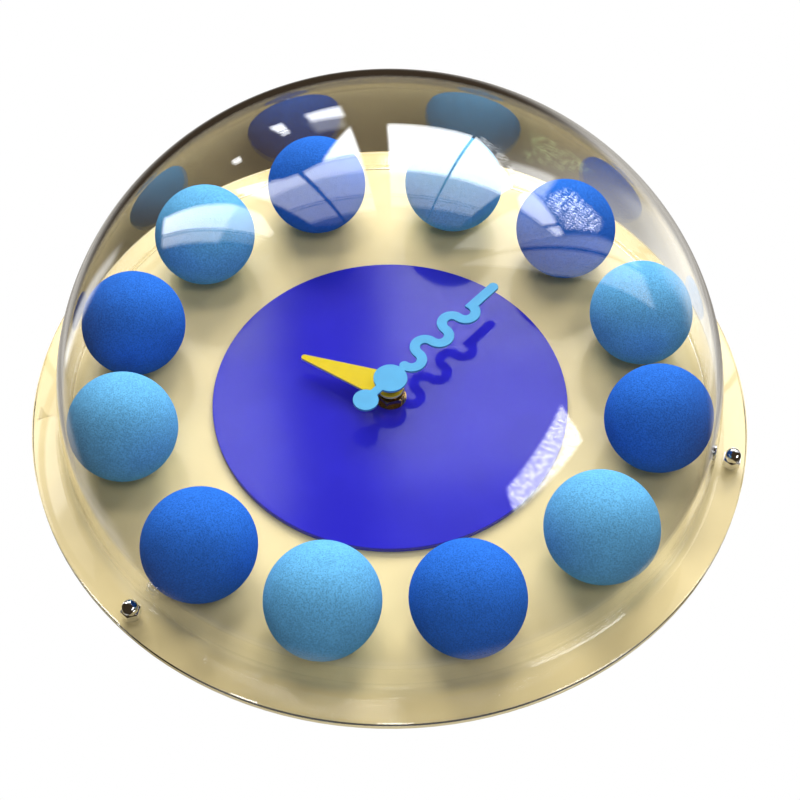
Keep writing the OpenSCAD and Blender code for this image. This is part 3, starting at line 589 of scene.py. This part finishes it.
MAGNET = Metal("sintered_magnet", (0.12, 0.12, 0.13), 0.5, grain_mm=0.15)
CRYSTAL = Metal("crystal_can", (0.72, 0.71, 0.68), 0.22, grain=(0.1, 1.0, 1.0))
BLACK_CASE = Plastic("black_case_plastic", (0.028, 0.028, 0.030), 0.5)
BLACK_COVER = Plastic("black_cover_plastic", (0.034, 0.034, 0.036), 0.6, skin_mm=0.7)
GEAR = Plastic("natural_acetal", (0.78, 0.76, 0.68), 0.38, depth_mm=0.005)
BOBBIN = Plastic("cream_nylon", (0.62, 0.58, 0.46), 0.45, depth_mm=0.005)
CHIP = Plastic("potting_resin", (0.012, 0.012, 0.013), 0.3, skin_mm=1.2)
KNOB = Plastic("white_knob_plastic", (0.74, 0.74, 0.72), 0.4)
RUBBER = Rubber("black_rubber", (0.018, 0.018, 0.018), 0.8)
JACKET = CellJacket("cell_jacket", (0.55, 0.22, 0.04), 0.28)
BOARD = Board("green_board", (0.025, 0.16, 0.06), 0.35)
WIRE = WoundWire("copper_wire", (0.72, 0.26, 0.10), 0.3)
# edge: colour painted on the hands' side faces, painted shade on the minute hand and a painted highlight
# on the hour hand
MINUTE_PAINT = Paint("sky_blue_paint", (0.09, 0.33, 0.57), 0.55, edge=(0.07, 0.28, 0.50))
HOUR_PAINT = Paint("yellow_paint", (0.53, 0.41, 0.012), 0.42, edge=(0.62, 0.55, 0.28))


class Shape:
    """A bmesh drawn lying down in mm, which ends as one hung-up object in metres."""

    def __init__(self) -> None:
        """Starts an empty shape."""
        self.mesh = bmesh.new()

    @classmethod
    def copy_of(cls, node: str) -> "Shape":
        """Starts from a CAD node's mesh, with its loose triangles joined up.

        Args:
            node: the CAD node's name.

        Returns:
            The shape, lying down and in mm.
        """
        shape = cls()
        shape.mesh.from_mesh(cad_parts[node].data)
        bmesh.ops.transform(shape.mesh, matrix=HANG.inverted(), verts=shape.mesh.verts)
        bmesh.ops.remove_doubles(shape.mesh, verts=shape.mesh.verts, dist=0.001)
        return shape

    def hung(
        self,
        name: str,
        finish: Finish,
        body: str,
        slot: str,
        replaced: Sequence[str],
        smooth_below: float = 35.0,
    ) -> bpy.types.Object:
        """Ends the shape: stands it up as one object that rides on a body.

        Args:
            name: the object's name.
            finish: its finish.
            body: the body that it moves with.
            slot: not used.
            replaced: the CAD nodes that it stands for.
            smooth_below: the largest angle in degrees that is shaded smooth.

        Returns:
            The object.
        """
        bmesh.ops.transform(self.mesh, matrix=HANG, verts=self.mesh.verts)
        for face in self.mesh.faces:
            face.smooth = True
        limit = math.radians(smooth_below)
        for edge in self.mesh.edges:
            edge.smooth = edge.calc_face_angle(0.0) <= limit
        data = bpy.data.meshes.new(name)
        self.mesh.to_mesh(data)
        self.mesh.free()
        data.materials.append(finish.material())
        made = bpy.data.objects.new(name, data)
        bpy.context.scene.collection.objects.link(made)
        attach(made, body)
        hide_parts(*replaced)
        LOG.info("%s: %d faces, rides on %s", name, len(data.polygons), body)
        return made


@dataclass(frozen=True)
class Rounding:
    """How the edges of a CAD piece are rounded, in mm and degrees.

    Triangles that lie in one plane within flat_within are joined up first.
    """

    width: float
    segments: int = 2
    sharper_than: float = 60.0
    flat_within: float = 0.5
    smooth_below: float = 35.0

    def hang(self, node: str, name: str, finish: Finish, body: str, slot: str) -> None:
        """Puts a copy with rounded edges in a CAD node's place.

        Args:
            node: the CAD node's name.
            name: the new object's name.
            finish: its finish.
            body: the body that it moves with.
            slot: a material slot's name, handed on to Shape.hung.
        """
        shape = Shape.copy_of(node)
        bm = shape.mesh
        flat = math.radians(self.flat_within)
        bmesh.ops.dissolve_limit(bm, angle_limit=flat, verts=bm.verts, edges=bm.edges)
        limit = math.radians(self.sharper_than)
        bmesh.ops.bevel(
            bm,
            geom=[e for e in bm.edges if len(e.link_faces) == 2 and e.calc_face_angle(0.0) > limit],
            offset=self.width,
            offset_type="OFFSET",
            affect="EDGES",
            segments=self.segments,
            profile=0.5,
            material=-1,
            clamp_overlap=True,
        )
        made = shape.hung(name, finish, body, slot, [node], self.smooth_below)
        even = made.modifiers.new("even_normals", "WEIGHTED_NORMAL")
        even.mode = "FACE_AREA"
        even.weight = 50
        even.keep_sharp = True


def dress(finish: Finish, *nodes: str) -> None:
    """Gives carried-over CAD nodes a finish.

    Args:
        finish: the finish.
        *nodes: the CAD nodes' names.
    """
    for name in nodes:
        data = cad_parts[name].data
        if not data.materials:
            data.materials.append(None)
        for index in range(len(data.materials)):
            data.materials[index] = finish.material()
        LOG.info("%s: %s", name, finish.name)


@dataclass
class Face:
    """The back plate and the centre disc."""

    plate_edge: Rounding = Rounding(0.35, flat_within=1.0)
    disc_edge: Rounding = Rounding(0.35, 3, flat_within=1.0)

    def build(self) -> None:
        """Rounds the plate's and the disc's edges and hangs both up."""
        self.plate_edge.hang("back_plate", "back_plate_sheet", LACQUER, "clock", "lacquered_plate")
        self.disc_edge.hang("dial_disc", "centre_disc", INDIGO, "clock", "indigo_disc")


def arc(centre: Spot, wide: float, high: float, turns: Iterable[float]) -> list[Spot]:
    """Gives the points at some angles of an ellipse, from its half width and half height."""
    return [(centre[0] + wide * math.cos(t), centre[1] + high * math.sin(t)) for t in turns]


@dataclass
class Dome:
    """The clear blown dome with its flange."""

    flange_r: float = 175.0
    flange_back: float = 20.0
    flange_front: float = 23.0
    root_r: float = 160.0
    rise: float = 141.0
    centre: float = 35.0
    wall: float = 3.0
    fillet: float = 4.0
    fillet_rings: int = 10
    lip: float = 0.5
    bolt_ring_r: float = 168.0
    bolt_hole_r: float = 2.75
    bolts: int = 3
    drill_length: float = 8.0
    steps: int = 288
    rings: int = 72

    def section(self) -> list[Spot]:
        """Gives the wall's half section.

        Returns:
            Points of radius and height in mm, from the flange's foot to the top
            outside and back down inside.
        """
        rim = [
            (self.flange_r - self.lip, self.flange_back),
            (self.flange_r, self.flange_back + self.lip),
            (self.flange_r, self.flange_front - self.lip),
            (self.flange_r - self.lip, self.flange_front),
        ]
        hub = (self.root_r + self.fillet, self.flange_front + self.fillet)
        turns = [math.radians(270 - 90 * i / self.fillet_rings) for i in range(self.fillet_rings + 1)]
        outer = arc(hub, self.fillet, self.fillet, turns)
        under = self.fillet + self.wall
        inner = arc(hub, under, under, turns)
        middle = (0.0, self.centre)
        turns = [math.radians(90 * i / self.rings) for i in range(self.rings + 1)]
        bubble = arc(middle, self.root_r, self.rise, turns)
        hollow = arc(middle, self.root_r - self.wall, self.rise - self.wall, turns)
        return rim + outer + bubble + hollow[::-1] + inner[::-1]

    def build(self) -> None:
        """Spins the section, drills the flange and hangs the dome up."""
        shape = Shape()
        bm = shape.mesh
        verts = [bm.verts.new((max(r, 0.0), 0.0, h)) for r, h in self.section()]
        edges = [
            bm.edges.new(pair)
            for pair in zip(verts, verts[1:] + verts[:1])
            if (pair[0].co - pair[1].co).length > TINY and not self._on_axis(pair)
        ]
        bmesh.ops.spin(
            bm,
            geom=edges + verts,
            cent=(0.0, 0.0, 0.0),
            axis=(0.0, 0.0, 1.0),
            angle=math.tau,
            steps=self.steps,
            use_merge=True,
        )
        bmesh.ops.remove_doubles(bm, verts=bm.verts, dist=0.002)
        bmesh.ops.recalc_face_normals(bm, faces=bm.faces)
        made = shape.hung("dome_shell", CLEAR, "clock", "clear_dome", ["dome"], 40.0)
        self._drill(made)

    @staticmethod
    def _on_axis(pair: tuple[bmesh.types.BMVert, bmesh.types.BMVert]) -> bool:
        """Says whether an edge of the section lies on the dome's axis."""
        return all(abs(v.co.x) < TINY for v in pair)

    def _drill(self, shell: bpy.types.Object) -> None:
        """Drills the bolt holes through the flange.

        Args:
            shell: the dome, already hung up.
        """
        bm = bmesh.new()
        r, height = self.bolt_hole_r, (self.flange_back + self.flange_front) / 2
        for k in range(self.bolts):
            a = math.tau * k / self.bolts
            place = Matrix.Translation(
                (self.bolt_ring_r * math.sin(a), self.bolt_ring_r * math.cos(a), height)
            )
            bmesh.ops.create_cone(
                bm, cap_ends=True, segments=48, radius1=r, radius2=r, depth=self.drill_length, matrix=place
            )
        bmesh.ops.transform(bm, matrix=HANG, verts=bm.verts)
        bmesh.ops.recalc_face_normals(bm, faces=bm.faces)
        data = bpy.data.meshes.new("drill")
        bm.to_mesh(data)
        bm.free()
        drill = bpy.data.objects.new("drill", data)
        bpy.context.scene.collection.objects.link(drill)
        cut = shell.modifiers.new("bolt_holes", "BOOLEAN")
        cut.operation = "DIFFERENCE"
        cut.solver = "EXACT"
        cut.object = drill
        bpy.context.view_layer.update()
        graph = bpy.context.evaluated_depsgraph_get()
        drilled = bpy.data.meshes.new_from_object(shell.evaluated_get(graph))
        shell.modifiers.clear()
        old = shell.data
        shell.data = drilled
        bpy.data.meshes.remove(old)
        drilled.name = "dome_shell"
        bpy.data.objects.remove(drill)
        LOG.info("dome_shell: %d faces after drilling", len(drilled.polygons))


@dataclass
class HourBalls:
    """The twelve foam balls."""

    ball_r: float = 25.8
    ring_r: float = 130.0
    foot: float = 20.0
    seat: float = 0.3
    out_of_round: float = 0.10
    lump: float = 14.0
    lump_seed: tuple[float, ...] = (7.3, 3.1, 5.7)
    levels: int = 6
    stray: tuple[float, ...] = (1.5, 1, 0.5, -0.5, 0, 1.5, -0.5, -3, 1, -1, -1, -1)

    def build(self) -> None:
        """Makes the twelve balls."""
        for hour in range(1, 13):
            self._ball(hour)

    def _ball(self, hour: int) -> None:
        """Makes one hour's ball, a little out of round and flat at its foot.

        Args:
            hour: the hour, 1 to 12.
        """
        a = math.radians(30 * hour + self.stray[hour - 1])
        height = self.foot + self.ball_r - self.seat
        middle = Vector((self.ring_r * math.sin(a), self.ring_r * math.cos(a), height))
        shape = Shape()
        bm = shape.mesh
        bmesh.ops.create_icosphere(bm, subdivisions=self.levels, radius=self.ball_r)
        seed = Vector([hour * step for step in self.lump_seed])
        for v in bm.verts:
            bulge = noise.noise(v.co / self.lump + seed) * self.out_of_round
            v.co = middle + v.co * (1.0 + bulge / self.ball_r)
        cut = bmesh.ops.bisect_plane(
            bm,
            geom=bm.verts[:] + bm.edges[:] + bm.faces[:],
            plane_co=(0.0, 0.0, self.foot),
            plane_no=(0.0, 0.0, 1.0),
            clear_inner=True,
        )
        rim = [e for e in cut["geom_cut"] if isinstance(e, bmesh.types.BMEdge)]
        bmesh.ops.holes_fill(bm, edges=rim)
        bmesh.ops.recalc_face_normals(bm, faces=bm.faces)
        foam = Hour.at(hour)
        name = f"ball_{hour:02d}"
        shape.hung(f"foam_{name}", FOAMS[foam], "clock", foam.value, [name])


@dataclass
class Fasteners:
    """The cap nuts, bolts, screws and washers."""

    nut_edge: Rounding = Rounding(0.35, 3, 40.0, smooth_below=25.0)

    def build(self) -> None:
        """Rounds the cap nuts' corners and dresses the rest."""
        self.nut_edge.hang("cap_nuts", "chrome_cap_nuts", CHROME, "clock", "chrome_nut")
        dress(ZINC, "flange_bolts", "flange_bolt_washers", "ball_screws", "ball_screw_washers")


@dataclass
class Hands:
    """The two hands with their sockets, nut, washer and bush."""

    minute_edge: Rounding = Rounding(0.22, sharper_than=50.0)
    hour_edge: Rounding = Rounding(0.25, sharper_than=50.0)
    nut_edge: Rounding = Rounding(0.3, sharper_than=40.0, smooth_below=25.0)

    def build(self) -> None:
        """Rounds the hands' edges and dresses what carries them."""
        self.minute_edge.hang(
            "minute_hand", "minute_hand_blade", MINUTE_PAINT, "minute_work", "minute_paint"
        )
        self.hour_edge.hang("hour_hand", "hour_hand_blade", HOUR_PAINT, "hour_work", "hour_paint")
        self.nut_edge.hang("bush_nut", "brass_nut", BRASS, "clock", "brass_bush")
        dress(BRASS, "bush_washer", "threaded_bush", "minute_hand_socket", "hour_hand_socket")


@dataclass
class Movement:
    """The battery movement and what holds the clock to the wall."""

    case_edge: Rounding = Rounding(0.3)

    def build(self) -> None:
        """Rounds the case's edges and dresses everything behind the dial."""
        self.case_edge.hang("movement_case", "movement_box", BLACK_CASE, "clock", "case_plastic")
        dress(BLACK_COVER, "movement_cover")
        dress(STRIP_STEEL, "hanger_bracket")
        dress(RUBBER, "rubber_gasket", "wall_bumpers")
        dress(JACKET, "battery")
        dress(CONTACT_STEEL, "battery_contact_plus", "battery_contact_minus")
        dress(KNOB, "set_knob")
        self._dress_inside()

    def _dress_inside(self) -> None:
        """Dresses the gears, the motor and the electronics."""
        dress(GEAR, "train_plate", "rotor_pinion", "intermediate_wheel", "seconds_wheel")
        dress(GEAR, "third_wheel", "centre_wheel", "works_wheel", "hour_wheel")
        dress(SOFT_IRON, "stator", "coil_core")
        dress(BOBBIN, "coil_bobbin")
        dress(WIRE, "coil_winding")
        dress(MAGNET, "rotor_magnet")
        dress(BOARD, "circuit_board")
        dress(CHIP, "clock_chip")
        dress(CRYSTAL, "quartz_crystal")
        dress(ARBOR_STEEL, "minute_arbor")
        dress(BRASS, "clutch_washer")


@dataclass(frozen=True)
class Softbox:
    """One soft lamp round the clock, which shows in no reflection.

    Its angles are in degrees and its other sizes in metres.
    """

    name: str
    azimuth: float
    elevation: float
    radiance: float
    width: float = 0.95
    height: float = 0.50
    distance: float = 2.2
    tint: Colour = (1.0, 0.98, 0.95)

    def build(self, target: Vector) -> None:
        """Puts the lamp in its place.

        Args:
            target: the point that the lamp faces, in metres.
        """
        a, e = math.radians(self.azimuth), math.radians(self.elevation)
        way = Vector((math.sin(a) * math.cos(e), -math.cos(a) * math.cos(e), math.sin(e)))
        lamp = bpy.data.lights.new(self.name, "AREA")
        lamp.shape = "RECTANGLE"
        lamp.size, lamp.size_y = self.width, self.height
        lamp.energy = self.radiance * math.pi * self.width * self.height
        lamp.color = self.tint
        made = bpy.data.objects.new(self.name, lamp)
        turn = way.to_track_quat("Z", "Y").to_matrix().to_4x4()
        made.matrix_world = Matrix.Translation(target + way * self.distance) @ turn
        made.visible_camera = made.visible_glossy = made.visible_transmission = False
        bpy.context.scene.collection.objects.link(made)
        LOG.info("softbox %s at %.0f, %.0f degrees", self.name, self.azimuth, self.elevation)


@dataclass(frozen=True)
class Line:
    """A straight line on a sheet over the clock, from one spot to another.

    Spots are given across to the viewer's right and out from the wall.
    """

    start: Spot
    end: Spot

    def left(self, place: Place) -> Number:
        """Gives how far a place lies to the left of the line.

        Args:
            place: the place on the sheet, across and out.

        Returns:
            The distance, below 0 on the line's right.
        """
        across, out = place
        dx, dy = self.end[0] - self.start[0], self.end[1] - self.start[1]
        length = math.hypot(dx, dy)
        dx, dy = dx / length, dy / length
        return out * dx - across * dy + (self.start[0] * dy - self.start[1] * dx)


@dataclass(frozen=True)
class Pane:
    """One pane of daylight that gloss and glass mirror.

    Past each drop, on its line's left, the pane is dimmer by so much. The bars
    are dark lines of a half width.
    """

    corners: tuple[Spot, ...]
    light: float = 1.0
    drops: tuple[tuple[Line, float], ...] = ()
    bars: tuple[tuple[Line, float], ...] = ()
    soft: float = 0.02

    def mask(self, place: Place) -> Number:
        """Fills the pane, whose corners run counter-clockwise.

        Args:
            place: the place on the sheet, across and out.

        Returns:
            1 inside the pane and 0 outside it.
        """
        share = None
        for start, end in zip(self.corners, self.corners[1:] + self.corners[:1]):
            side = Line(start, end).left(place).between(-self.soft / 2, self.soft / 2)
            share = side if share is None else share * side
        return share

    def glow(self, place: Place) -> Number:
        """Gives the pane's light with its drops and its bars.

        Args:
            place: the place on the sheet, across and out.

        Returns:
            The light, 0 outside the pane.
        """
        level = self.light
        for line, drop in self.drops:
            level = level - line.left(place).between(-self.soft, self.soft) * drop
        share = self.mask(place) * level
        for line, half in self.bars:
            share = share * abs(line.left(place)).between(half * 0.5, half * 1.5)
        return share


@dataclass(frozen=True)
class Room:
    """The room round the clock, as its gloss and its dome show it."""

    dark: Colour = (0.045, 0.032, 0.020)
    ceiling: Colour = (0.055, 0.036, 0.021)
    leaf: Colour = (0.75, 1.05, 0.45)
    pale: Colour = (0.66, 0.63, 0.58)
    daylight: Colour = (0.98, 1.0, 1.02)
    left_window: Pane = Pane(
        ((-0.76, 0.27), (-0.545, 0.12), (-0.50, 0.30), (-0.455, 0.60))
        + ((-0.46, 0.90), (-0.56, 1.24), (-0.76, 1.24)),
        5.5,
        (
            (Line((-0.61, 0.72), (-0.50, 0.66)), 2.0),
            (Line((-0.665, 0.0), (-0.645, 1.0)), 2.8),
            (Line((-0.745, 0.0), (-0.745, 1.0)), 1.2),
        ),
        ((Line((-0.635, 1.0), (-0.66, 0.4)), 0.007),),
    )
    middle_window: Pane = Pane(
        ((-0.385, 0.36), (0.15, 0.36), (0.175, 1.72), (-0.18, 1.64), (-0.325, 1.48)),
        9.0,
        (
            (Line((-0.01, 0.67), (0.15, 0.70)), 4.0),
            (Line((-0.30, 0.79), (0.16, 0.905)), 2.3),
            (Line((-0.34, 1.07), (0.11, 1.255)), 0.6),
            (Line((-0.34, 1.40), (0.16, 1.58)), 1.7),
        ),
        (
            (Line((-0.01, 0.675), (0.15, 0.705)), 0.006),
            (Line((-0.34, 1.08), (0.11, 1.265)), 0.008),
            (Line((-0.13, 0.72), (-0.10, 1.61)), 0.012),
        ),
    )
    blot: Pane = Pane(
        ((-0.44, 0.26), (0.22, 0.26), (-0.02, 0.68), (-0.12, 0.705), (-0.20, 0.685), (-0.385, 0.48)),
    )
    right_window: Pane = Pane(
        ((0.285, 0.395), (0.66, 0.43), (1.14, 0.95), (1.15, 2.33), (0.68, 2.11), (0.30, 1.90)),
        9.0,
        (
            (Line((0.30, 0.945), (1.09, 1.15)), 6.4),
            (Line((0.45, 1.39), (1.03, 1.60)), 0.5),
            (Line((0.45, 1.62), (1.03, 1.84)), 1.7),
        ),
        (
            (Line((0.45, 1.40), (1.03, 1.61)), 0.008),
            (Line((0.65, 0.45), (0.68, 2.09)), 0.009),
        ),
    )
    low_window: Pane = Pane(((0.40, 0.22), (1.23, 0.49), (1.33, 0.98), (0.40, 0.40)), 12.5, soft=0.04)
    glows: tuple[Pane, ...] = (
        Pane(((0.92, 0.60), (1.22, 0.46), (1.44, 0.92), (1.13, 0.94)), 3.0, soft=0.08),
        Pane(
            ((1.30, 0.92), (1.46, 0.98), (2.42, 1.55), (2.42, 1.72), (1.50, 1.38), (1.28, 1.10)),
            6.0,
            bars=((Line((2.07, 1.3), (2.0, 1.9)), 0.05),),
            soft=0.05,
        ),
        Pane(((1.45, 1.42), (2.45, 1.74), (2.45, 3.6), (1.45, 3.6)), 1.5, soft=0.10),
        Pane(
            ((2.45, 0.80), (3.0, 0.35), (7.0, 0.35), (7.0, 6.0), (2.45, 6.0)),
            1.3,
            bars=((Line((3.36, 0.8), (2.80, 3.2)), 0.13),),
            soft=0.30,
        ),
        Pane(((0.05, 0.12), (0.15, 0.12), (0.15, 0.25), (0.05, 0.22)), 5.0),
        Pane(((0.04, 0.22), (0.14, 0.25), (0.14, 0.37), (0.04, 0.35)), 1.0, soft=0.03),
        Pane(
            ((-0.055, 0.11), (-0.02, 0.12), (-0.028, 0.25), (-0.055, 0.25)),
            6.0,
            bars=((Line((-0.06, 0.21), (0.0, 0.22)), 0.006),),
            soft=0.012,
        ),
        Pane(((-0.24, 0.22), (-0.208, 0.23), (-0.22, 0.27), (-0.245, 0.26)), 8.0, soft=0.01),
        Pane(
            ((-0.57, -0.22), (-0.66, -0.24), (-0.7, -0.4), (-0.74, -0.6), (-0.7, -0.86), (-0.6, -0.86)),
            1.3,
            soft=0.08,
        ),
    )
    leaves: tuple[Pane, ...] = (
        Pane(((0.66, 0.40), (0.78, 0.44), (1.12, 0.84), (1.16, 0.97)), 5.0, soft=0.04),
        Pane(((1.4, 0.5), (1.95, 0.5), (2.3, 0.8), (2.2, 1.3), (1.46, 0.95)), 11.0, soft=0.12),
    )
    green_leaves: Pane = Pane(((0.8, 0.02), (1.17, -0.05), (1.17, 0.3), (0.95, 0.5)), soft=0.08)
    leaf_size: float = 48.0
    leaf_contrast: float = 2.5
    cloth_size: float = 45.0
    streak_size: float = 400.0
    streak_stretch: float = 9.0
    beside_light: float = 0.6

    def mirrored(self, recipe: Recipe, way: Socket) -> Socket:
        """Gives what gloss and glass mirror: a dark room with its windows.

        Args:
            recipe: the world's recipe.
            way: the direction in which a ray leaves the clock.

        Returns:
            The light's colour.
        """
        x, y, z = recipe.axes(way)
        above = (x / z, -1.0 * y / z)
        below = (above[0] * -1.0, above[1] * -1.0)
        up = z.between(0.06, 0.10)
        specks = self._speckle(recipe, above, self.leaf_size) ** self.leaf_contrast
        windows = self._windows(above, specks) * up
        low = self.low_window.glow(below) * (1.0 - z.between(-0.10, -0.06))
        low = low * (self._speckle(recipe, above, self.cloth_size) * 0.6 + 0.4)
        beside = x.between(0.62, 0.80) * z.between(0.26, 0.36) * (1.0 - z.between(0.56, 0.64))
        beside = beside * y.between(0.0, 0.20) * self.beside_light
        green = self.green_leaves.glow(above) * specks * up
        base = self._pale_walls(recipe, way, recipe.blend(green, self.dark, self.leaf))
        lit = recipe.node("ShaderNodeVectorMath", {"operation": "SCALE"}, {0: self.daylight})
        recipe.feed(lit.inputs["Scale"], windows + low + beside)
        both = recipe.node("ShaderNodeVectorMath", {"operation": "ADD"}, {0: base, 1: lit.outputs[0]})
        return both.outputs[0]

    def _windows(self, place: Place, specks: Number) -> Number:
        """Adds up the daylight of all panes above the clock.

        Args:
            place: the place on the sheet, across and out.
            specks: the foliage's specks, from 0 to 1.

        Returns:
            The light.
        """
        light = self.left_window.glow(place) + self.right_window.glow(place)
        light = light + self.middle_window.glow(place) * (1.0 - self.blot.mask(place))
        for pane in self.glows:
            light = light + pane.glow(place)
        for leaves in self.leaves:
            light = light + leaves.glow(place) * specks
        return light

    def _pale_walls(self, recipe: Recipe, way: Socket, base: Socket) -> Socket:
        """Adds the pale streaked wall behind the clock and the pale floor under it.

        Args:
            recipe: the world's recipe.
            way: the direction in which a ray leaves the clock.
            base: the dark room's colour.

        Returns:
            The room's colour.
        """
        x, y, z = recipe.axes(way)
        behind = (y + x * 0.25).between(0.42, 0.56) * z.between(0.16, 0.26)
        behind = behind * (1.0 - (z + x * 0.11).between(0.74, 0.86))
        streaks = self._speckle(recipe, (y * self.streak_stretch, z), self.streak_size)
        under = y.between(0.72, 0.86) * z.between(0.1, -0.1)
        return recipe.blend(behind * (streaks * 0.5 + 0.5) + under, base, self.pale)

    def beyond(self, recipe: Recipe, way: Socket) -> Socket:
        """Gives what stands behind the clock: the white wall, and the dim brown above it.

        Args:
            recipe: the world's recipe.
            way: the direction in which a ray leaves the clock.

        Returns:
            The light's colour.
        """
        x, _, z = recipe.axes(way)
        edge = z.between(0.668, 0.690)
        gradual = z.between(0.53, 0.70)
        high = edge + x.between(0.20, 0.30) * (gradual - edge)
        return recipe.blend(high, WHITE, self.ceiling)

    @staticmethod
    def _speckle(recipe: Recipe, place: Place, size: float) -> Number:
        """Breaks light up into specks.

        Args:
            recipe: the world's recipe.
            place: the place on the sheet, across and out.
            size: the specks' size, in thousandths of the sheet's height.

        Returns:
            The specks, from 0 to 1.
        """
        sheet = recipe.node("ShaderNodeCombineXYZ", None, dict(enumerate(place))).outputs[0]
        return recipe.noise(size, 3.0, 0.7, sheet).between(0.42, 0.62)


@dataclass
class Studio:
    """The pale floor, the world, the softboxes and the camera."""

    floor_z: float = -0.80
    floor_side: float = 4.0
    floor_colour: Colour = (0.86, 0.86, 0.86)
    floor_cloud_mm: float = 400.0
    floor_tint: float = 1.03
    floor_fade: tuple[float, float] = (2.0, 0.2)
    aim: Vector = field(default_factory=lambda: Vector((0.0, -0.06, 0.0)))
    ambient: float = 0.07
    ambient_below: float = 0.78
    room: Room = Room()
    target: Vector = field(default_factory=lambda: Vector((0.00516, -0.018, 0.00036)))
    back: Vector = field(default_factory=lambda: Vector((-0.1781, -0.8007, -0.5719)))
    up: Vector = field(default_factory=lambda: Vector((0.2257, -0.5990, 0.7683)))
    distance: float = 0.790577
    lens: float = 71.61
    softboxes: tuple[Softbox, ...] = (
        Softbox("window_left_upper", -4.0, 64.0, 13.6),
        Softbox("window_left_lower", -6.0, 48.0, 13.0),
        Softbox("window_right_upper", 40.0, 54.0, 15.0),
        Softbox("window_right_lower", 36.0, 39.0, 16.4),
        Softbox("window_far_right", 68.0, 25.0, 8.0),
        Softbox("room_front", 0.0, 12.0, 7.8),
        Softbox("room_right", 45.0, 8.0, 6.0),
        Softbox("floor_bounce", 0.0, -25.0, 6.5),
    )

    def build(self) -> None:
        """Sets up the whole stage."""
        self._floor()
        self._world()
        for box in self.softboxes:
            box.build(self.aim)
        self._camera()

    def _floor(self) -> None:
        """Lays the pale floor, which takes the clock's shadow and fades out round it."""
        bm = bmesh.new()
        bmesh.ops.create_grid(bm, x_segments=8, y_segments=8, size=self.floor_side / 2)
        bmesh.ops.translate(bm, verts=bm.verts, vec=(0.0, 0.0, self.floor_z))
        data = bpy.data.meshes.new("pale_floor")
        bm.to_mesh(data)
        bm.free()
        made = bpy.data.objects.new("pale_floor", data)
        made.visible_glossy = made.visible_diffuse = made.visible_transmission = False
        bpy.context.scene.collection.objects.link(made)
        coat = bpy.data.materials.new("pale_floor")
        coat.use_nodes = True
        recipe = Recipe(coat.node_tree)
        cloud = recipe.noise(self.floor_cloud_mm).between(0.3, 0.7)
        paler = tuple(c * self.floor_tint for c in self.floor_colour)
        shade = recipe.blend(cloud, self.floor_colour, paler)
        x, y, _ = recipe.axes(recipe.place())
        near = (x * x + y * y).between(*self.floor_fade)
        recipe.output(recipe.surface(Base_Color=shade, Roughness=0.9, Alpha=near))
        data.materials.append(coat)

    def _world(self) -> None:
        """Makes the world: white to the camera, the room to gloss and glass."""
        world = bpy.data.worlds.new("pale_room")
        bpy.context.scene.world = world
        world.use_nodes = True
        world.cycles.sampling_method = "NONE"
        recipe = Recipe(world.node_tree)
        path = recipe.node("ShaderNodeLightPath")
        way = recipe.node("ShaderNodeTexCoord").outputs["Generated"]
        mirrored = recipe.number(path.outputs["Glossy Depth"]).above(0.5)
        beyond = self.room.beyond(recipe, way)
        seen = recipe.blend(mirrored, beyond, self.room.mirrored(recipe, way))
        below = recipe.axes(way)[2].between(0.0, -0.5)
        soft = recipe.blend(below, (self.ambient,) * 3, (self.ambient_below,) * 3)
        bounced = recipe.number(path.outputs["Diffuse Depth"]).above(0.5)
        lit = recipe.blend(bounced, seen, soft)
        shown = recipe.blend(recipe.number(path.outputs["Is Camera Ray"]), lit, WHITE)
        sky = recipe.node("ShaderNodeBackground", None, {"Color": shown, "Strength": 1.0})
        recipe.output(sky.outputs[0], "ShaderNodeOutputWorld")

    def _camera(self) -> None:
        """Puts the camera where the photograph was taken from."""
        data = bpy.data.cameras.new("photo_camera")
        data.lens = self.lens
        data.sensor_width = 36.0
        data.clip_start = 0.01
        data.clip_end = 50.0
        back = self.back.normalized()
        up = (self.up - back * self.up.dot(back)).normalized()
        right = up.cross(back)
        turn = Matrix((right, up, back)).transposed().to_4x4()
        made = bpy.data.objects.new("photo_camera", data)
        made.matrix_world = Matrix.Translation(self.target + back * self.distance) @ turn
        bpy.context.scene.collection.objects.link(made)
        bpy.context.scene.camera = made


def main() -> None:
    """Builds the clock's looks and its stage."""
    logging.basicConfig(level=logging.INFO, format="%(message)s")
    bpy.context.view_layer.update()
    bpy.context.scene.view_settings.view_transform = "Standard"
    parts = (Face(), Dome(), HourBalls(), Fasteners(), Hands(), Movement(), Studio())
    for part in parts:
        part.build()
        LOG.info("%s done", type(part).__name__)


if __name__ == "__main__":
    main()
